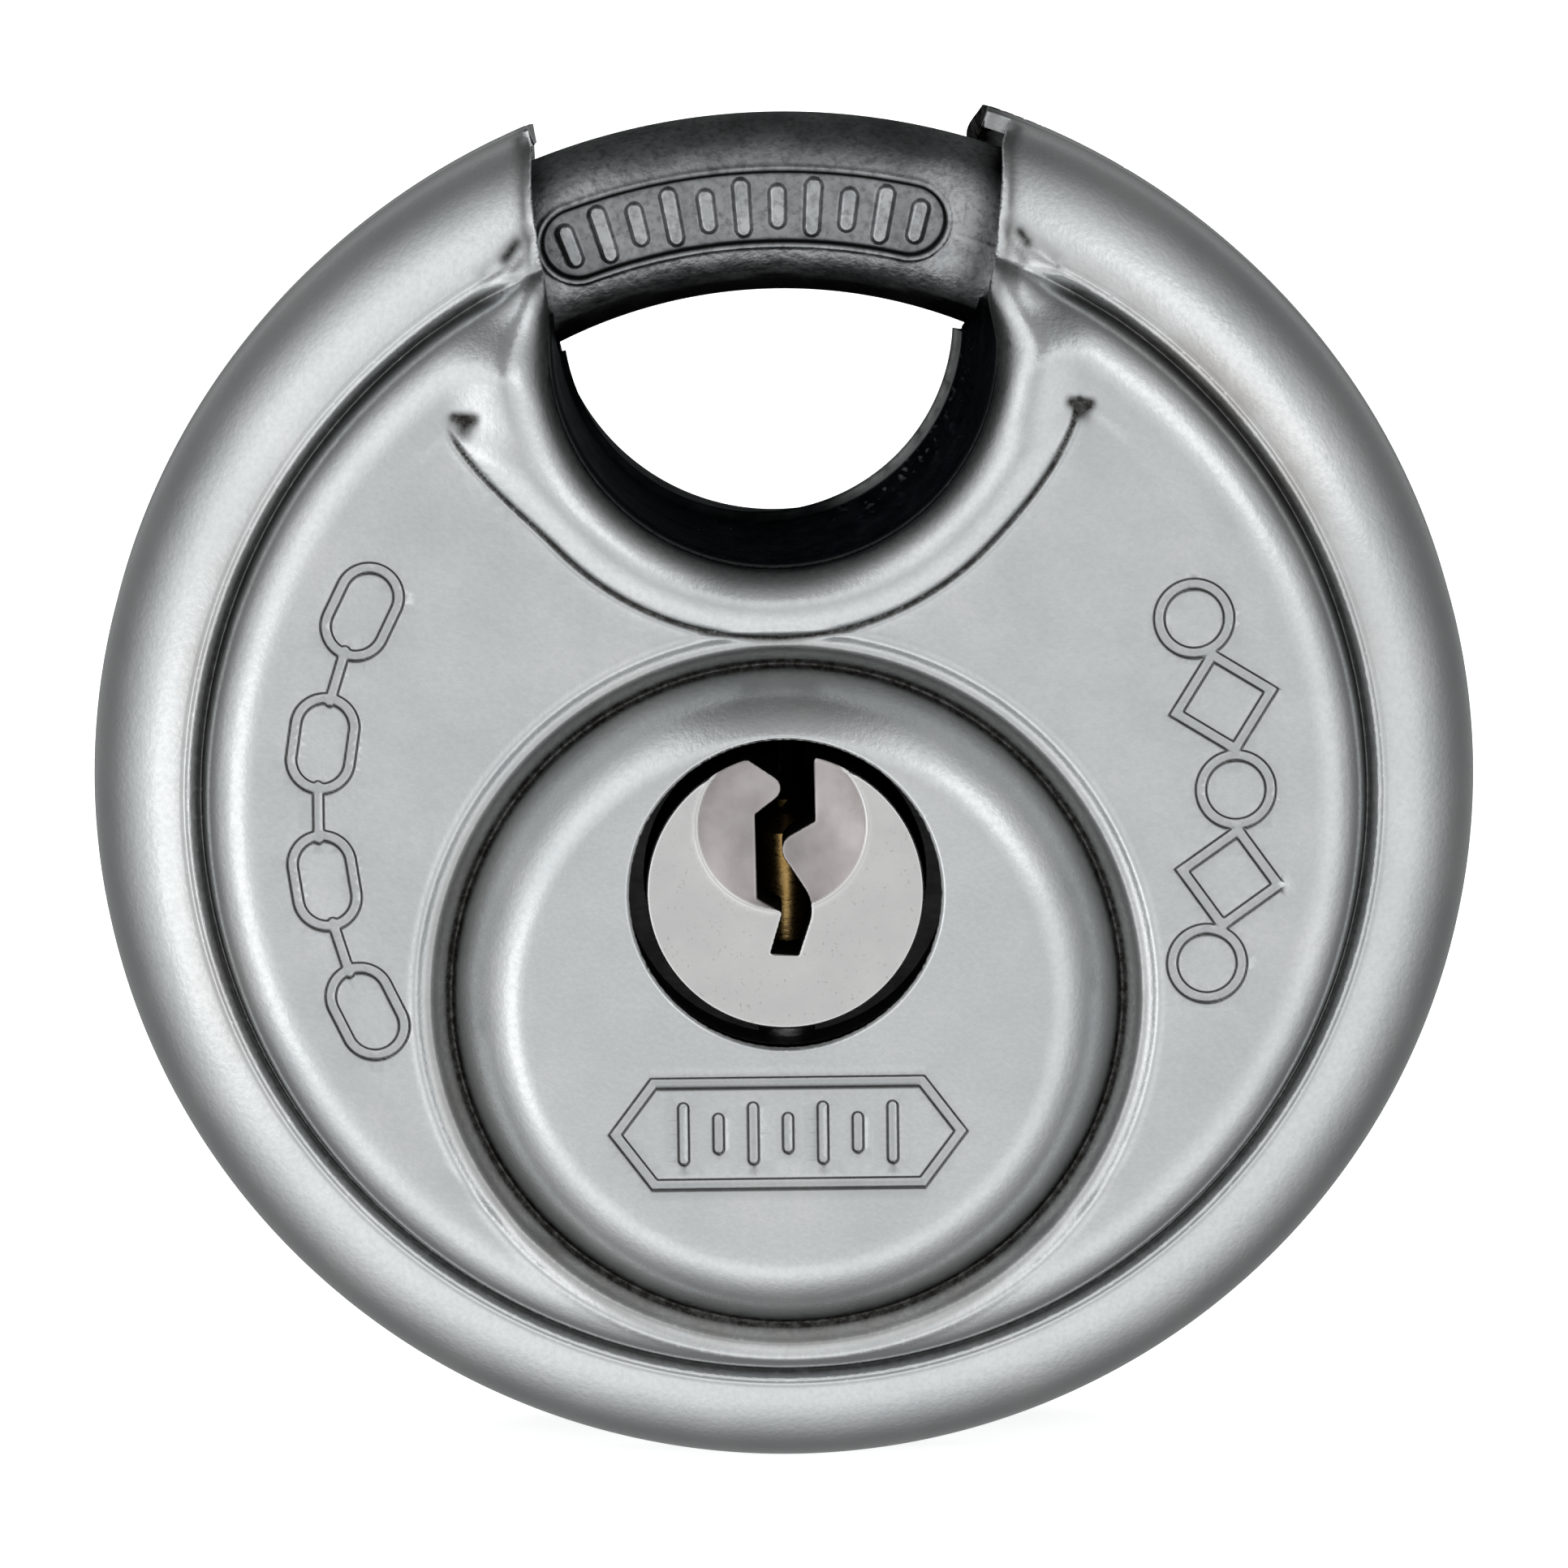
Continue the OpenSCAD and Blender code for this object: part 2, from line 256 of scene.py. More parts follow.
def with_lock_face(face, z, r, boss):
    """The raised flat with the lock face added; boss counts from the lock face's middle."""
    # A sloping ledge runs down to the moat, and a steep wall with a rounded brow rises out of it.
    ledge = MOAT_DROP * np.clip((LEDGE_RADIUS - boss) / (LEDGE_RADIUS - BOSS_RADIUS), 0, 1)
    crest = 0.05 * dent(boss - LEDGE_RADIUS - 0.1, 0.16) + 0.09 * dent(boss - LEDGE_RADIUS + 0.5, 0.16)
    capped = np.minimum(face, FLAT_DEPTH + FLAT_CROWN - 0.35 * ramp(r, 18.9, 21))
    face = np.where(z < 0, capped, face) - ledge + crest
    brow = BOSS_RADIUS - BOSS_WALL
    wall = BOSS_DEPTH - (BOSS_DEPTH - FLAT_DEPTH + MOAT_DROP) * (boss - brow) / BOSS_WALL
    top = -smooth_max(-wall, np.full_like(wall, -BOSS_DEPTH), 1.5)
    return smooth_max(face, top, 0.1)


def case_skin(x, z, front):
    """Depth of the case's outer skin at a point in plan, how much dirt and painted shade darken it, and how
    heat-tinted it is there.
    """
    r, angle = np.hypot(x, z), np.degrees(np.arctan2(z, x))
    from_crease, boss = r - CREASE_RADIUS, np.hypot(x, z - BOSS_Z)
    rim = RIM_FLAT + np.sqrt(np.maximum(RIM_SECTION**2 - np.maximum(r - RIM_CENTRE, 0) ** 2, 0))
    face, crease = drawn_face(x, z, r, past_collar(x, z))
    if front:
        face = with_lock_face(face, z, r, boss)

    # The crease between rim and shoulder runs out shortly before each mouth.
    open_top = ramp(angle, 58.5, 66) * (1 - ramp(angle, 114.5, 121))
    creased = 1 - open_top
    groove = dent(from_crease - 0.08, 0.2) * creased
    skin = smooth_max(rim, face, 0.12 + 1.1 * open_top)
    ridge = 0.07 * dent(from_crease - 0.52, 0.1) - 0.04 * dent(from_crease - 0.72, 0.07)
    skin = skin - GROOVE_DEPTH * groove + ridge * creased

    valleys, pits = strokes(x, z, VALLEYS), strokes(x, z, PITS)
    corners = strokes(x, z, CORNER_PITS) + 0.8 * dots(x, z, CORNER_DOTS, DOT_SIZE)
    skin = skin + 0.36 * dots(x, z, KNOBS, KNOB_SIZE) - 0.1 * valleys - 0.03 * pits - 0.1 * corners

    # The edge rolls over into the throat: widely at the collar, tightly at the mouths.
    edge = past_throat(x, z, front)
    roll = LIP_ROLL + (THROAT_ROLL - LIP_ROLL) * (1 - ramp(z, 16.5, 19.5))
    into = np.clip(roll - edge, 0, roll)
    rolled = roll - np.sqrt(np.maximum(roll**2 - into**2, 0))
    # At the lips beside the mouths the sheet only dips, and its edge turns up again in a fine bead.
    lip = ramp(z, 17.5, 19.5)
    skin = skin - rolled * (1 - lip) - (0.28 * (into / roll) ** 2 - 0.05 * dent(edge - 0.04, 0.08)) * lip

    if front:
        stroke = stroke_distance(x, z)
        marks = 1 - ramp(stroke, 0.14, 0.24)
        hole = np.hypot(x, z - PLUG_Z) - BOSS_HOLE
        skin = skin - MARK_DEPTH * marks
        skin = skin - 0.16 * (1 - ramp(hole, 0, 0.16)) ** 2
        # Darker along the marks' strokes. Painted shade darkens the moat's line round the lock face, the
        # sloping ledge and the gap round the plug's hole.
        dirt_and_shade = 0.16 * marks + 0.85 * dent(stroke - 0.2, 0.055)
        dirt_and_shade = dirt_and_shade + 1.1 * dent(boss - BOSS_RADIUS, 0.16) + 0.4 * dent(boss - BOSS_RADIUS + 0.2, 0.6)
        on_ledge = 0.42 * ramp(boss, BOSS_RADIUS, BOSS_RADIUS + 0.2)
        dirt_and_shade = dirt_and_shade + on_ledge * (1 - ramp(boss, LEDGE_RADIUS - 0.75, LEDGE_RADIUS - 0.1))
        dirt_and_shade = dirt_and_shade + 1.0 * dent(hole, 0.03)
        bloom = 0.5 * dent(boss - BOSS_RADIUS - 0.5, 0.5) * (0.4 + 0.6 * ramp(-x - z, 4, 16))
    else:
        # The back half is darker in a round patch beside its right-hand mouth.
        dirt_and_shade, bloom = 1.2 * bulge(x, z, (7.0, 23.0), 1.6), np.zeros_like(x)
    tinted = 0.7 * dent(angle - 38, 22) + 0.4 * dent(np.abs(angle) - 165, 18)
    bloom = bloom + dent(from_crease - 0.7, 0.8) * tinted
    # The rim's groove and the collar's crease are darkened: painted shade in the creases, together with the
    # dirt that lies in them.
    dirt_and_shade = dirt_and_shade + 0.8 * dent(from_crease - 0.08, 0.2) * creased + 1.1 * crease
    # Painted shade darkens the sheet where it rolls over into the throat.
    inside_edge = 0.85 * dent(edge, 0.55) * (1 - lip) + 0.45 * dent(edge - 0.4, 0.22) * lip
    # Painted shade darkens the folds' valleys; the pits and the crease's corner dimples hold dirt.
    dirt_and_shade = dirt_and_shade + 0.2 * valleys + 0.8 * pits + 1.1 * corners + inside_edge
    return skin, np.clip(dirt_and_shade, 0, 1), np.clip(bloom, 0, 1)


def throat_curve(offset, spacing, front):
    """Points in plan at an offset outside the throat's edge, from the left lip round to the right one."""
    rise = np.arange(CASE_RADIUS, THROAT_Z, -spacing)
    left, right = throat_sides(rise, front)
    turn = np.arange(180, 361, spacing / THROAT_RADIUS / DEG) * DEG
    radius = THROAT_RADIUS + offset
    x = np.concatenate([left - offset, THROAT_X + radius * np.cos(turn), (right + offset)[::-1]])
    z = np.concatenate([rise, THROAT_Z + radius * np.sin(turn), rise[::-1]])
    inside = np.hypot(x, z) < CASE_RADIUS - 0.01
    return np.column_stack([x[inside], z[inside]])


def rings(centre, radii, count):
    turn = np.arange(count) * 2 * math.pi / count
    return [np.column_stack([centre[0] + r * np.cos(turn), centre[1] + r * np.sin(turn)]) for r in radii]


def grid(low, high, pitch):
    xs, zs = np.arange(low[0], high[0], pitch), np.arange(low[1], high[1], pitch)
    x, z = np.meshgrid(xs, zs)
    return np.column_stack([x.ravel(), z.ravel()])


# Where the sheet bends tightly in both directions: the mouths, then the crease's ends.
BUSY_SPOTS, SPOT_HALF = ((-9.5, 19.3), (8.9, 19.4), (-11.2, 14.1), (10.8, 14.5)), (1.6, 1.9)
MARKED_AREAS = (
    ((-18.4, -10.5), (-11.5, 9.5)), ((12.0, -9.0), (17.8, 9.0)),
    ((-PLATE_HALF - 0.5, PLATE_Z - PLATE_HEIGHT - 0.5), (PLATE_HALF + 0.5, PLATE_Z + PLATE_HEIGHT + 0.5)),
)


def collar_arcs(detail):
    """Arcs close together on both sides of the collar's crease, as far as the shoulder."""
    turn = np.arange(150, 391, 0.9 * detail) * DEG
    arcs = []
    for offset in np.arange(-0.35, 0.4, 0.05 * detail):
        x, z = COLLAR_X + 12 * np.cos(turn), COLLAR_Z + 12 * np.sin(turn)
        radius = collar_edge(x, z) + offset
        x, z = COLLAR_X + radius * np.cos(turn), COLLAR_Z + radius * np.sin(turn)
        arcs.append(np.column_stack([x, z])[np.hypot(x, z) < SHOULDER_START])
    return arcs


def lock_face_points(detail):
    """Rings round the lock face's brow, moat, ledge and hole, and points along the edges of the marks."""
    middle = (0, BOSS_Z)
    brow = BOSS_RADIUS - BOSS_WALL + np.arange(-0.9, 1.6, 0.12 * detail)
    hole = BOSS_HOLE + np.array([0, 0.03, 0.07, 0.12, 0.18, 0.3, 0.5])
    sections = rings(middle, brow, 420 // detail)
    sections += rings(middle, BOSS_RADIUS + np.arange(-0.3, 0.4, 0.04 * detail), 480 // detail)
    sections += rings(middle, LEDGE_RADIUS + np.arange(-0.8, 0.5, 0.07 * detail), 480 // detail)
    sections += rings((0, PLUG_Z), hole, 240 // detail)
    marked = np.vstack([grid(low, high, 0.055 * detail) for low, high in MARKED_AREAS])
    near = stroke_distance(*marked.T)
    return sections + [marked[(near > 0.08) & (near < 0.3)]]


def plan_points(front):
    """The points of a case half in plan: close together across every crease, far apart along it."""
    detail = 1 if FINE else 2
    count = 900 // detail
    edge = throat_curve(0, 0.12 * detail, front)
    around = rings((0, 0), [CASE_RADIUS], count)[0]
    around = around[past_throat(*around.T, front) > 0.02]
    sections = [edge, around]
    for offset in (0.02, 0.05, 0.1, 0.17, 0.25, 0.35, 0.46, 0.6, 0.75, 0.92, 1.1, 1.3, 1.5, 1.75, 2.0, 2.3):
        sections.append(throat_curve(offset, 0.16 * detail, front))
    bend = np.arange(4, 90, 4.5 * detail) * DEG
    slope = np.arange(0, 72, 6 * detail) * DEG
    sections += rings((0, 0), RIM_CENTRE + RIM_SECTION * np.sin(bend), count)
    sections += rings((0, 0), CREASE_RADIUS + np.arange(-0.6, 1.1, 0.055 * detail), count)
    sections += rings((0, 0), SHOULDER_START + SHOULDER_RADIUS * np.sin(slope), count // 2)
    sections += collar_arcs(detail)
    if front:
        sections += lock_face_points(detail)
    wide, high = SPOT_HALF
    for x, z in BUSY_SPOTS:
        spot = grid((x - wide, z - high), (x + wide, z + high), 0.12 * detail)
        past_crease = np.hypot(*spot.T) - CREASE_RADIUS
        sections.append(spot[(past_crease < -0.62) | (past_crease > 1.1)])
    # The loose filling stands off the round numbers, so that it meets no ring's point.
    sections.append(grid((-CASE_RADIUS + 0.013, -CASE_RADIUS + 0.017), (CASE_RADIUS, CASE_RADIUS), 0.5))
    points = np.vstack(sections)
    # Points between the edges keep clear of them.
    edges = np.arange(len(points)) < len(edge) + len(around)
    keep = edges | ((np.hypot(*points.T) < CASE_RADIUS - 0.03) & (past_throat(*points.T, front) > 0.02))
    if front:
        keep &= np.hypot(points[:, 0], points[:, 1] - PLUG_Z) > BOSS_HOLE - 1e-6
    keep[:len(edge)] = True
    points, held = points[keep], len(edge)
    # Of points in one small square only the first stays.
    cell = np.floor(points / 0.036).astype(np.int64)
    _, first = np.unique(cell[:, 0] * 100003 + cell[:, 1], return_index=True)
    first = np.union1d(first, np.arange(held))
    return points[np.sort(first)], held


def new_mesh(name, points, faces, smooth=True):
    """A mesh object from points in metres and index lists."""
    mesh = bpy.data.meshes.new(name)
    corners = [tuple(p) for p in np.asarray(points, float)]
    mesh.from_pydata(corners, [], [tuple(int(i) for i in f) for f in faces])
    mesh.validate()
    mesh.polygons.foreach_set("use_smooth", [smooth] * len(mesh.polygons))
    mesh.update()
    obj = bpy.data.objects.new(name, mesh)
    bpy.context.scene.collection.objects.link(obj)
    return obj


def point_values(obj, name, values):
    """Keeps one number per point on the mesh, for its material to read."""
    layer = obj.data.attributes.new(name, "FLOAT", "POINT")
    full = np.zeros(len(obj.data.vertices), np.float32)
    full[:len(values)] = values
    layer.data.foreach_set("value", full)


def outer_edges(faces):
    """The directed edges that only one triangle uses."""
    edges = np.vstack([faces[:, [0, 1]], faces[:, [1, 2]], faces[:, [2, 0]]])
    key = np.sort(edges, axis=1)
    _, index, count = np.unique(key, axis=0, return_index=True, return_counts=True)
    return edges[index[count == 1]]


def triangulated(points, chain, wanted, outward):
    """Triangles between plan points where their middles are wanted, all turned the same way."""
    verts, _, faces, *_ = geometry.delaunay_2d_cdt([Vector(p) for p in points], chain, [], 0, 1e-5)
    plan, faces = np.array([tuple(v) for v in verts]), np.array([f for f in faces if len(f) == 3])
    faces = faces[wanted(*plan[faces].mean(axis=1).T)]
    ax, az = (plan[faces[:, 1]] - plan[faces[:, 0]]).T
    bx, bz = (plan[faces[:, 2]] - plan[faces[:, 0]]).T
    flip = (ax * bz - az * bx < 0) == outward
    faces[flip] = faces[flip][:, ::-1]
    return plan, faces


def case_half(name, front):
    """One drawn case half with its creases, rolled edges and marks, as sheet of the true thickness."""
    def on_sheet(x, z):
        kept = past_throat(x, z, front) > 0
        return kept & (np.hypot(x, z - PLUG_Z) > BOSS_HOLE * 0.9995) if front else kept

    points, held = plan_points(front)
    chain = [(i, i + 1) for i in range(held - 1)]
    plan, faces = triangulated(points, chain, on_sheet, front)
    depth, dirt_and_shade, bloom = case_skin(plan[:, 0], plan[:, 1], front)
    side = -1 if front else 1

    r, angle = np.hypot(*plan.T), np.degrees(np.arctan2(plan[:, 1], plan[:, 0]))
    # The lips stand a little outside the round of the case.
    flared = 1 + LIP_FLARE * dent(angle - 90, 32) * ramp(r, 18, CASE_RADIUS)
    points = np.column_stack([plan[:, 0] * flared, side * depth, plan[:, 1] * flared])
    values = [dirt_and_shade]
    edges = outer_edges(faces)
    quads = []
    # The rim's straight band, down to a fine seam at the middle plane.
    band = edges[(r[edges] > CASE_RADIUS - 0.02).all(axis=1)]
    # The throat's edge turns in a little further, up to where the shackle hides it.
    at_throat = past_throat(*plan[edges[:, 0]].T, front) < 0.02
    skirt = edges[at_throat & (plan[edges, 1].max(axis=1) < SKIRT_TOP)]
    for chain_edges, levels in ((band, ((0.9, 1.0), (0.14, 1.0), (0.03, 0.9965))), (skirt, ((None, 1.0),))):
        used = np.unique(chain_edges)
        place = {int(v): int(v) for v in used}
        for level, shrink in levels:
            start = len(points)
            ring = points[used].copy()
            ring[:, [0, 2]] *= shrink
            ring[:, 1] = side * level if level is not None else ring[:, 1] - side * SKIRT_DEPTH
            nearer = {int(v): start + i for i, v in enumerate(used)}
            quads += [(place[a], nearer[a], nearer[b], place[b]) for a, b in chain_edges.tolist()]
            points = np.vstack([points, ring])
            values.append(dirt_and_shade[used] * 0.5)
            place = nearer
    faces = [tuple(f) for f in faces.tolist()] + quads
    obj = new_mesh(name, points * MM, faces)
    point_values(obj, "dirt_and_shade", np.concatenate(values))
    point_values(obj, "bloom", bloom)
    thick = obj.modifiers.new("sheet", "SOLIDIFY")
    thick.thickness = SHEET * MM
    thick.offset = -1
    thick.use_rim = True
    return obj


front_shell = case_half("front_shell_drawn", True)
back_shell = case_half("back_shell_drawn", False)

# ---- swept pieces

def strip_faces(rows, columns, closed=False):
    """Quads over a grid of points, row by row; closed joins the last column to the first."""
    faces = []
    for i in range(rows - 1):
        for j in range(columns if closed else columns - 1):
            a, b = i * columns + j, i * columns + (j + 1) % columns
            faces.append((a, b, b + columns, a + columns))
    return faces


def liner_section(depth):
    """How far the liner stands into the throat at a depth, with a pressed ridge at its waist."""
    reach = FLAT_DEPTH - SHEET
    draft = 1 - np.abs(depth) / reach
    ridge = 0.16 * dent(depth, 0.2) - 0.06 * dent(np.abs(depth) - 0.5, 0.18)
    lines = 0.025 * dent(np.abs(depth) - 3.4, 0.1) + 0.04 * dent(np.abs(depth) - 5.9, 0.12)
    return 0.86 * draft**1.3 + ridge - lines


def channel_foot(x, depth):
    """Height at which the shackle's channel cuts a wall that stands at x."""
    gap = BAR_RADIUS + 0.35
    radius = RING_RADIUS - math.sqrt(gap**2 - depth**2) if abs(depth) < gap else CHANNEL_EDGE
    return math.sqrt(max(min(radius, CHANNEL_EDGE) ** 2 - x**2, 0))


def liner_row(depth, radius, across):
    """One row of the liner in plan at a depth: down the left side, round the floor and up the right side."""
    x0 = THROAT_X + (WAIST_X - THROAT_X) * max(0.0, 1 - abs(depth) / WAIST_REACH)
    feet = (channel_foot(x, depth) for x in (x0 - radius, x0 + radius))
    up_left, up_right = (max(foot - THROAT_Z, -2.0) for foot in feet)
    start = 180 * DEG if up_left > 0 else 180 * DEG + math.asin(min(-up_left / radius, 0.9))
    end = 360 * DEG if up_right > 0 else 360 * DEG - math.asin(min(-up_right / radius, 0.9))
    turn = np.linspace(start, end, across)
    floor = np.column_stack([x0 + radius * np.cos(turn), THROAT_Z + radius * np.sin(turn)])
    rise = np.linspace(1, 0, SIDE_STEPS, endpoint=False)
    left, right = (np.full(SIDE_STEPS, floor[i, 0]) for i in (0, -1))
    left = np.column_stack([left, floor[0, 1] + rise * max(up_left, 0.002)])
    right = np.column_stack([right, floor[-1, 1] + rise[::-1] * max(up_right, 0.002)])
    return np.vstack([left, floor, right])


def throat_liner():
    """The dark U-shaped wall of the throat, between the two rolled collars."""
    pressed = [np.arange(middle - 0.3, middle + 0.3, 0.08) for middle in (-2.6, 2.6, -4.6, 4.6)]
    depths = np.unique(np.concatenate([
        np.arange(-7.05, 7.06, 0.3 if FINE else 0.6), np.arange(-1.1, 1.11, 0.06), *pressed]))
    across = 160 if FINE else 80
    columns, count = across + 2 * SIDE_STEPS, len(depths)
    inner = [liner_row(d, THROAT_RADIUS + 0.05 - liner_section(d), across) for d in depths]
    outer = [liner_row(d, THROAT_RADIUS + 0.8, across) for d in depths]
    points = []
    for depth, row in zip(np.tile(depths, 2), inner + outer):
        # The liner stands back from the folds beside the mouths.
        standing = depth * (1 - 0.2 * ramp(row[:, 1], 15.0, 17.2))
        points.append(np.column_stack([row[:, 0], -standing, row[:, 1]]))
    points = np.vstack(points)
    half = count * columns
    faces = strip_faces(count, columns)
    faces += [tuple(half + i for i in f[::-1]) for f in faces]
    last = columns - 1
    rims = [(i * columns + j, (i + 1) * columns + j, j > 0) for i in range(count - 1) for j in (0, last)]
    rims += [(i * columns + j, i * columns + j + 1, i == 0) for i in (0, count - 1) for j in range(last)]
    for a, b, turned_over in rims:
        quad = (a, b, half + b, half + a)
        faces.append(quad[::-1] if turned_over else quad)
    obj = new_mesh("throat_liner", points * MM, faces)
    rubbed = ramp(points[:half, 0], 1.0, 4.5)
    forward = np.repeat(depths, columns)
    point_values(obj, "worn", dent(forward - 0.25, 0.28) * rubbed)
    lower = points[:half, 2] < THROAT_Z
    point_values(obj, "scored", dent(points[:half, 0] - 4.4, 2.0) * lower * dent(forward - 1.2, 1.3))
    return obj


def in_recess(angle, across):
    """Distance outside the shackle's recess, a bent stadium, and the place along and across it."""
    middle, half = (RECESS_LEFT + RECESS_RIGHT) / 2, (RECESS_LEFT - RECESS_RIGHT) / 2 * RECESS_RING
    along = (angle - middle) * RECESS_RING
    offset = across + RING_RADIUS - RECESS_RING
    return np.hypot(np.maximum(np.abs(along) - half + RECESS_HALF, 0), offset) - RECESS_HALF, along, offset


def forged_bar():
    """The shackle's round bar, with a bordered recess, plain raised bars in it and a fine parting line."""
    detail = 1 if FINE else 2
    angles = np.unique(np.round(np.concatenate([
        np.arange(SHACKLE_TAIL, SHACKLE_TIP, 1.0 * DEG), [SHACKLE_TIP],
        np.arange(61 * DEG, 121 * DEG, 0.16 * detail * DEG)]), 6))
    fine = np.arange(-42, 49, 0.8 * detail)
    round_bar = np.unique(np.concatenate([fine, np.arange(48, 318, 6)])) * DEG
    columns = len(round_bar)
    turn, around = np.meshgrid(angles, round_bar, indexing="ij")
    across, forward = BAR_RADIUS * np.sin(around), BAR_RADIUS * np.cos(around)
    outside, along, offset = in_recess(turn, across)
    facing_out = forward > 0
    border = 0.06 * dent(outside - 0.09, 0.08)
    floor_gap = ramp(-outside, 0.0, 0.16)
    sunk = np.minimum(forward, RECESS_FLOOR)
    bars = np.zeros_like(forward)
    for i in range(BARS):
        centre = (i - BARS // 2) * BAR_PITCH
        length = 0.76 if i % 2 else 0.5
        stroke = np.hypot(along - centre, np.maximum(np.abs(offset) - length, 0))
        bars = np.maximum(bars, 1 - ramp(stroke, 0.2, 0.38))
    sunk = sunk + 0.24 * bars
    parting = 0.045 * dent(across + 0.25, 0.07) * ramp(outside, 0.25, 0.6) * ramp(-turn, -68 * DEG, -60 * DEG)
    parting = parting + 0.05 * dent(across - 0.1, 0.09) * ramp(outside, 0.2, 0.5)
    shaped = forward * (1 - floor_gap) + sunk * floor_gap
    lift = np.where(facing_out, shaped - forward + border + parting, 0)
    taper = 0.16 * dent(turn - SHACKLE_TIP, 0.035)
    ring = RING_RADIUS + across * (1 - taper)
    y = -(forward * (1 - taper) + lift)
    points = np.column_stack([(ring * np.cos(turn)).ravel(), y.ravel(), (ring * np.sin(turn)).ravel()])
    faces = strip_faces(len(angles), columns, closed=True)
    count = len(points)
    ends = []
    for row, angle in ((0, SHACKLE_TAIL), (len(angles) - 1, SHACKLE_TIP)):
        ends.append([RING_RADIUS * math.cos(angle), 0, RING_RADIUS * math.sin(angle)])
        hub = count + len(ends) - 1
        for j in range(columns):
            a, b = row * columns + j, row * columns + (j + 1) % columns
            faces.append((hub, b, a) if row == 0 else (hub, a, b))
    points = np.vstack([points, ends])
    obj = new_mesh("forged_shackle", points * MM, faces)
    # Painted shade darkens the recess's border and its floor between the raised bars.
    dirt_and_shade = np.where(facing_out, 0.9 * dent(outside + 0.06, 0.1) + 0.35 * floor_gap * (1 - bars), 0)
    ragged = 0.1 * np.sin(19 * turn) + 0.05 * np.sin(47 * turn)
    # Painted shade darkens the bar's underside, with a ragged edge like forging scale.
    underside_shade = 0.95 * (1 - ramp(across + ragged, -2.5, -2.2))
    # Painted shadow where the bar runs into the case's mouths.
    at_mouths = 0.6 * (dent(turn - 69 * DEG, 0.035) + dent(turn - 115.5 * DEG, 0.03))
    # Painted shade also darkens the bar's outer edge.
    dirt_and_shade = dirt_and_shade + underside_shade + at_mouths + 0.62 * ramp(across + ragged, 1.75, 2.7)
    point_values(obj, "dirt_and_shade", np.clip(dirt_and_shade.ravel(), 0, 1))
    cut_slot(obj)
    return obj


def cut_slot(bar):
    """Opens the slot for the arm's dowel near the shackle's tail."""
    length, width, back = 5.2, 2.0, 12
    block = bmesh.new()
    bmesh.ops.create_cube(block, size=1)
    scale = Matrix.Diagonal((length, back, width, 1))
    shift = Matrix.Translation((RING_RADIUS - BAR_RADIUS - 0.9, back / 2 - 2.4, 0))
    turn = Matrix.Rotation(SLOT_ANGLE, 4, "Y")
    block.transform(Matrix.Scale(MM, 4) @ turn @ shift @ scale)
    cut_away(bar, block)


def cut_away(obj, shape):
    """Takes a bmesh shape out of an object, and frees the shape."""
    mesh = bpy.data.meshes.new("cutter")
    shape.to_mesh(mesh)
    shape.free()
    cutter = bpy.data.objects.new("cutter", mesh)
    bpy.context.scene.collection.objects.link(cutter)
    cut = obj.modifiers.new("cut", "BOOLEAN")
    cut.object, cut.operation, cut.solver = cutter, "DIFFERENCE", "EXACT"
    apply_modifiers(obj)
    bpy.data.objects.remove(cutter)


def apply_modifiers(obj):
    """Turns an object's modifiers into plain mesh."""
    graph = bpy.context.evaluated_depsgraph_get()
    shown = obj.evaluated_get(graph)
    mesh = bpy.data.meshes.new_from_object(shown, preserve_all_data_layers=True, depsgraph=graph)
    obj.modifiers.clear()
    obj.data = mesh


# ---- the key plug

# The keyway's corners about the plug's axis, each with the radius it is rounded to.
KEYWAY = ((-2.3, 5.55, 0.01), (0.21, 3.67, 0.5), (-1.05, 2.7, 0.1), (-1.0, -0.24, 0.04),
          (-0.11, -0.75, 0.12), (-0.56, -2.24, 0.04), (0.45, -2.31, 0.04), (1.06, -0.47, 1.3),
          (-0.36, 1.61, 0.6), (1.08, 2.45, 0.06), (1.06, 4.7, 0.12), (1.5, 5.55, 0.01))
DISH = (-0.1, 2.4)
DISH_RADIUS, DISH_DEPTH = 3.05, 0.75
CLEAN_BAND = 0.06
FACE_RADIUS = PLUG_RADIUS - 0.07
KEYWAY_BACK, PLUG_BACK, STUB_HALF_FLAT = 3.6, 4.4, 2.0
TAIL = ((PLUG_BACK, 2.5), (5.92, 2.5), (5.92, 2.05), (6.4, 2.05), (6.4, 2.5), (6.5, 2.4))
SHEAR_Z, BORE_TOP, BORE_RADIUS = PLUG_Z - PLUG_RADIUS, 1.1, 1.05
STACKS = [(low[1] + high[1]) / 2 / MM for low, high in (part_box(f"key_pin_{i}") for i in range(1, 5))]


def rounded(corners, step=0.055):
    """Points along a closed outline of corners, each rounded to its own radius."""
    outline = []
    for i, (x, z, radius) in enumerate(corners):
        after = corners[(i + 1) % len(corners)]
        here, before, after = Vector((x, z)), Vector(corners[i - 1][:2]), Vector(after[:2])
        into, away = (before - here).normalized(), (after - here).normalized()
        half = into.angle(away) / 2
        centre = here + (into + away).normalized() * radius / math.sin(half)
        start, end = (here + side * radius / math.tan(half) - centre for side in (into, away))
        first = math.atan2(start.y, start.x)
        sweep = (math.atan2(end.y, end.x) - first + math.pi) % (2 * math.pi) - math.pi
        steps = max(2, int(abs(sweep) * radius / step))
        for k in range(steps + 1):
            turn = first + sweep * k / steps
            outline.append((centre.x + radius * math.cos(turn), centre.y + radius * math.sin(turn)))
    points = []
    for a, b in zip(outline, outline[1:] + outline[:1]):
        steps = max(1, int(math.dist(a, b) / step))
        points += [(a[0] + (b[0] - a[0]) * k / steps, a[1] + (b[1] - a[1]) * k / steps) for k in range(steps)]
    return points


WARDS = rounded(KEYWAY)


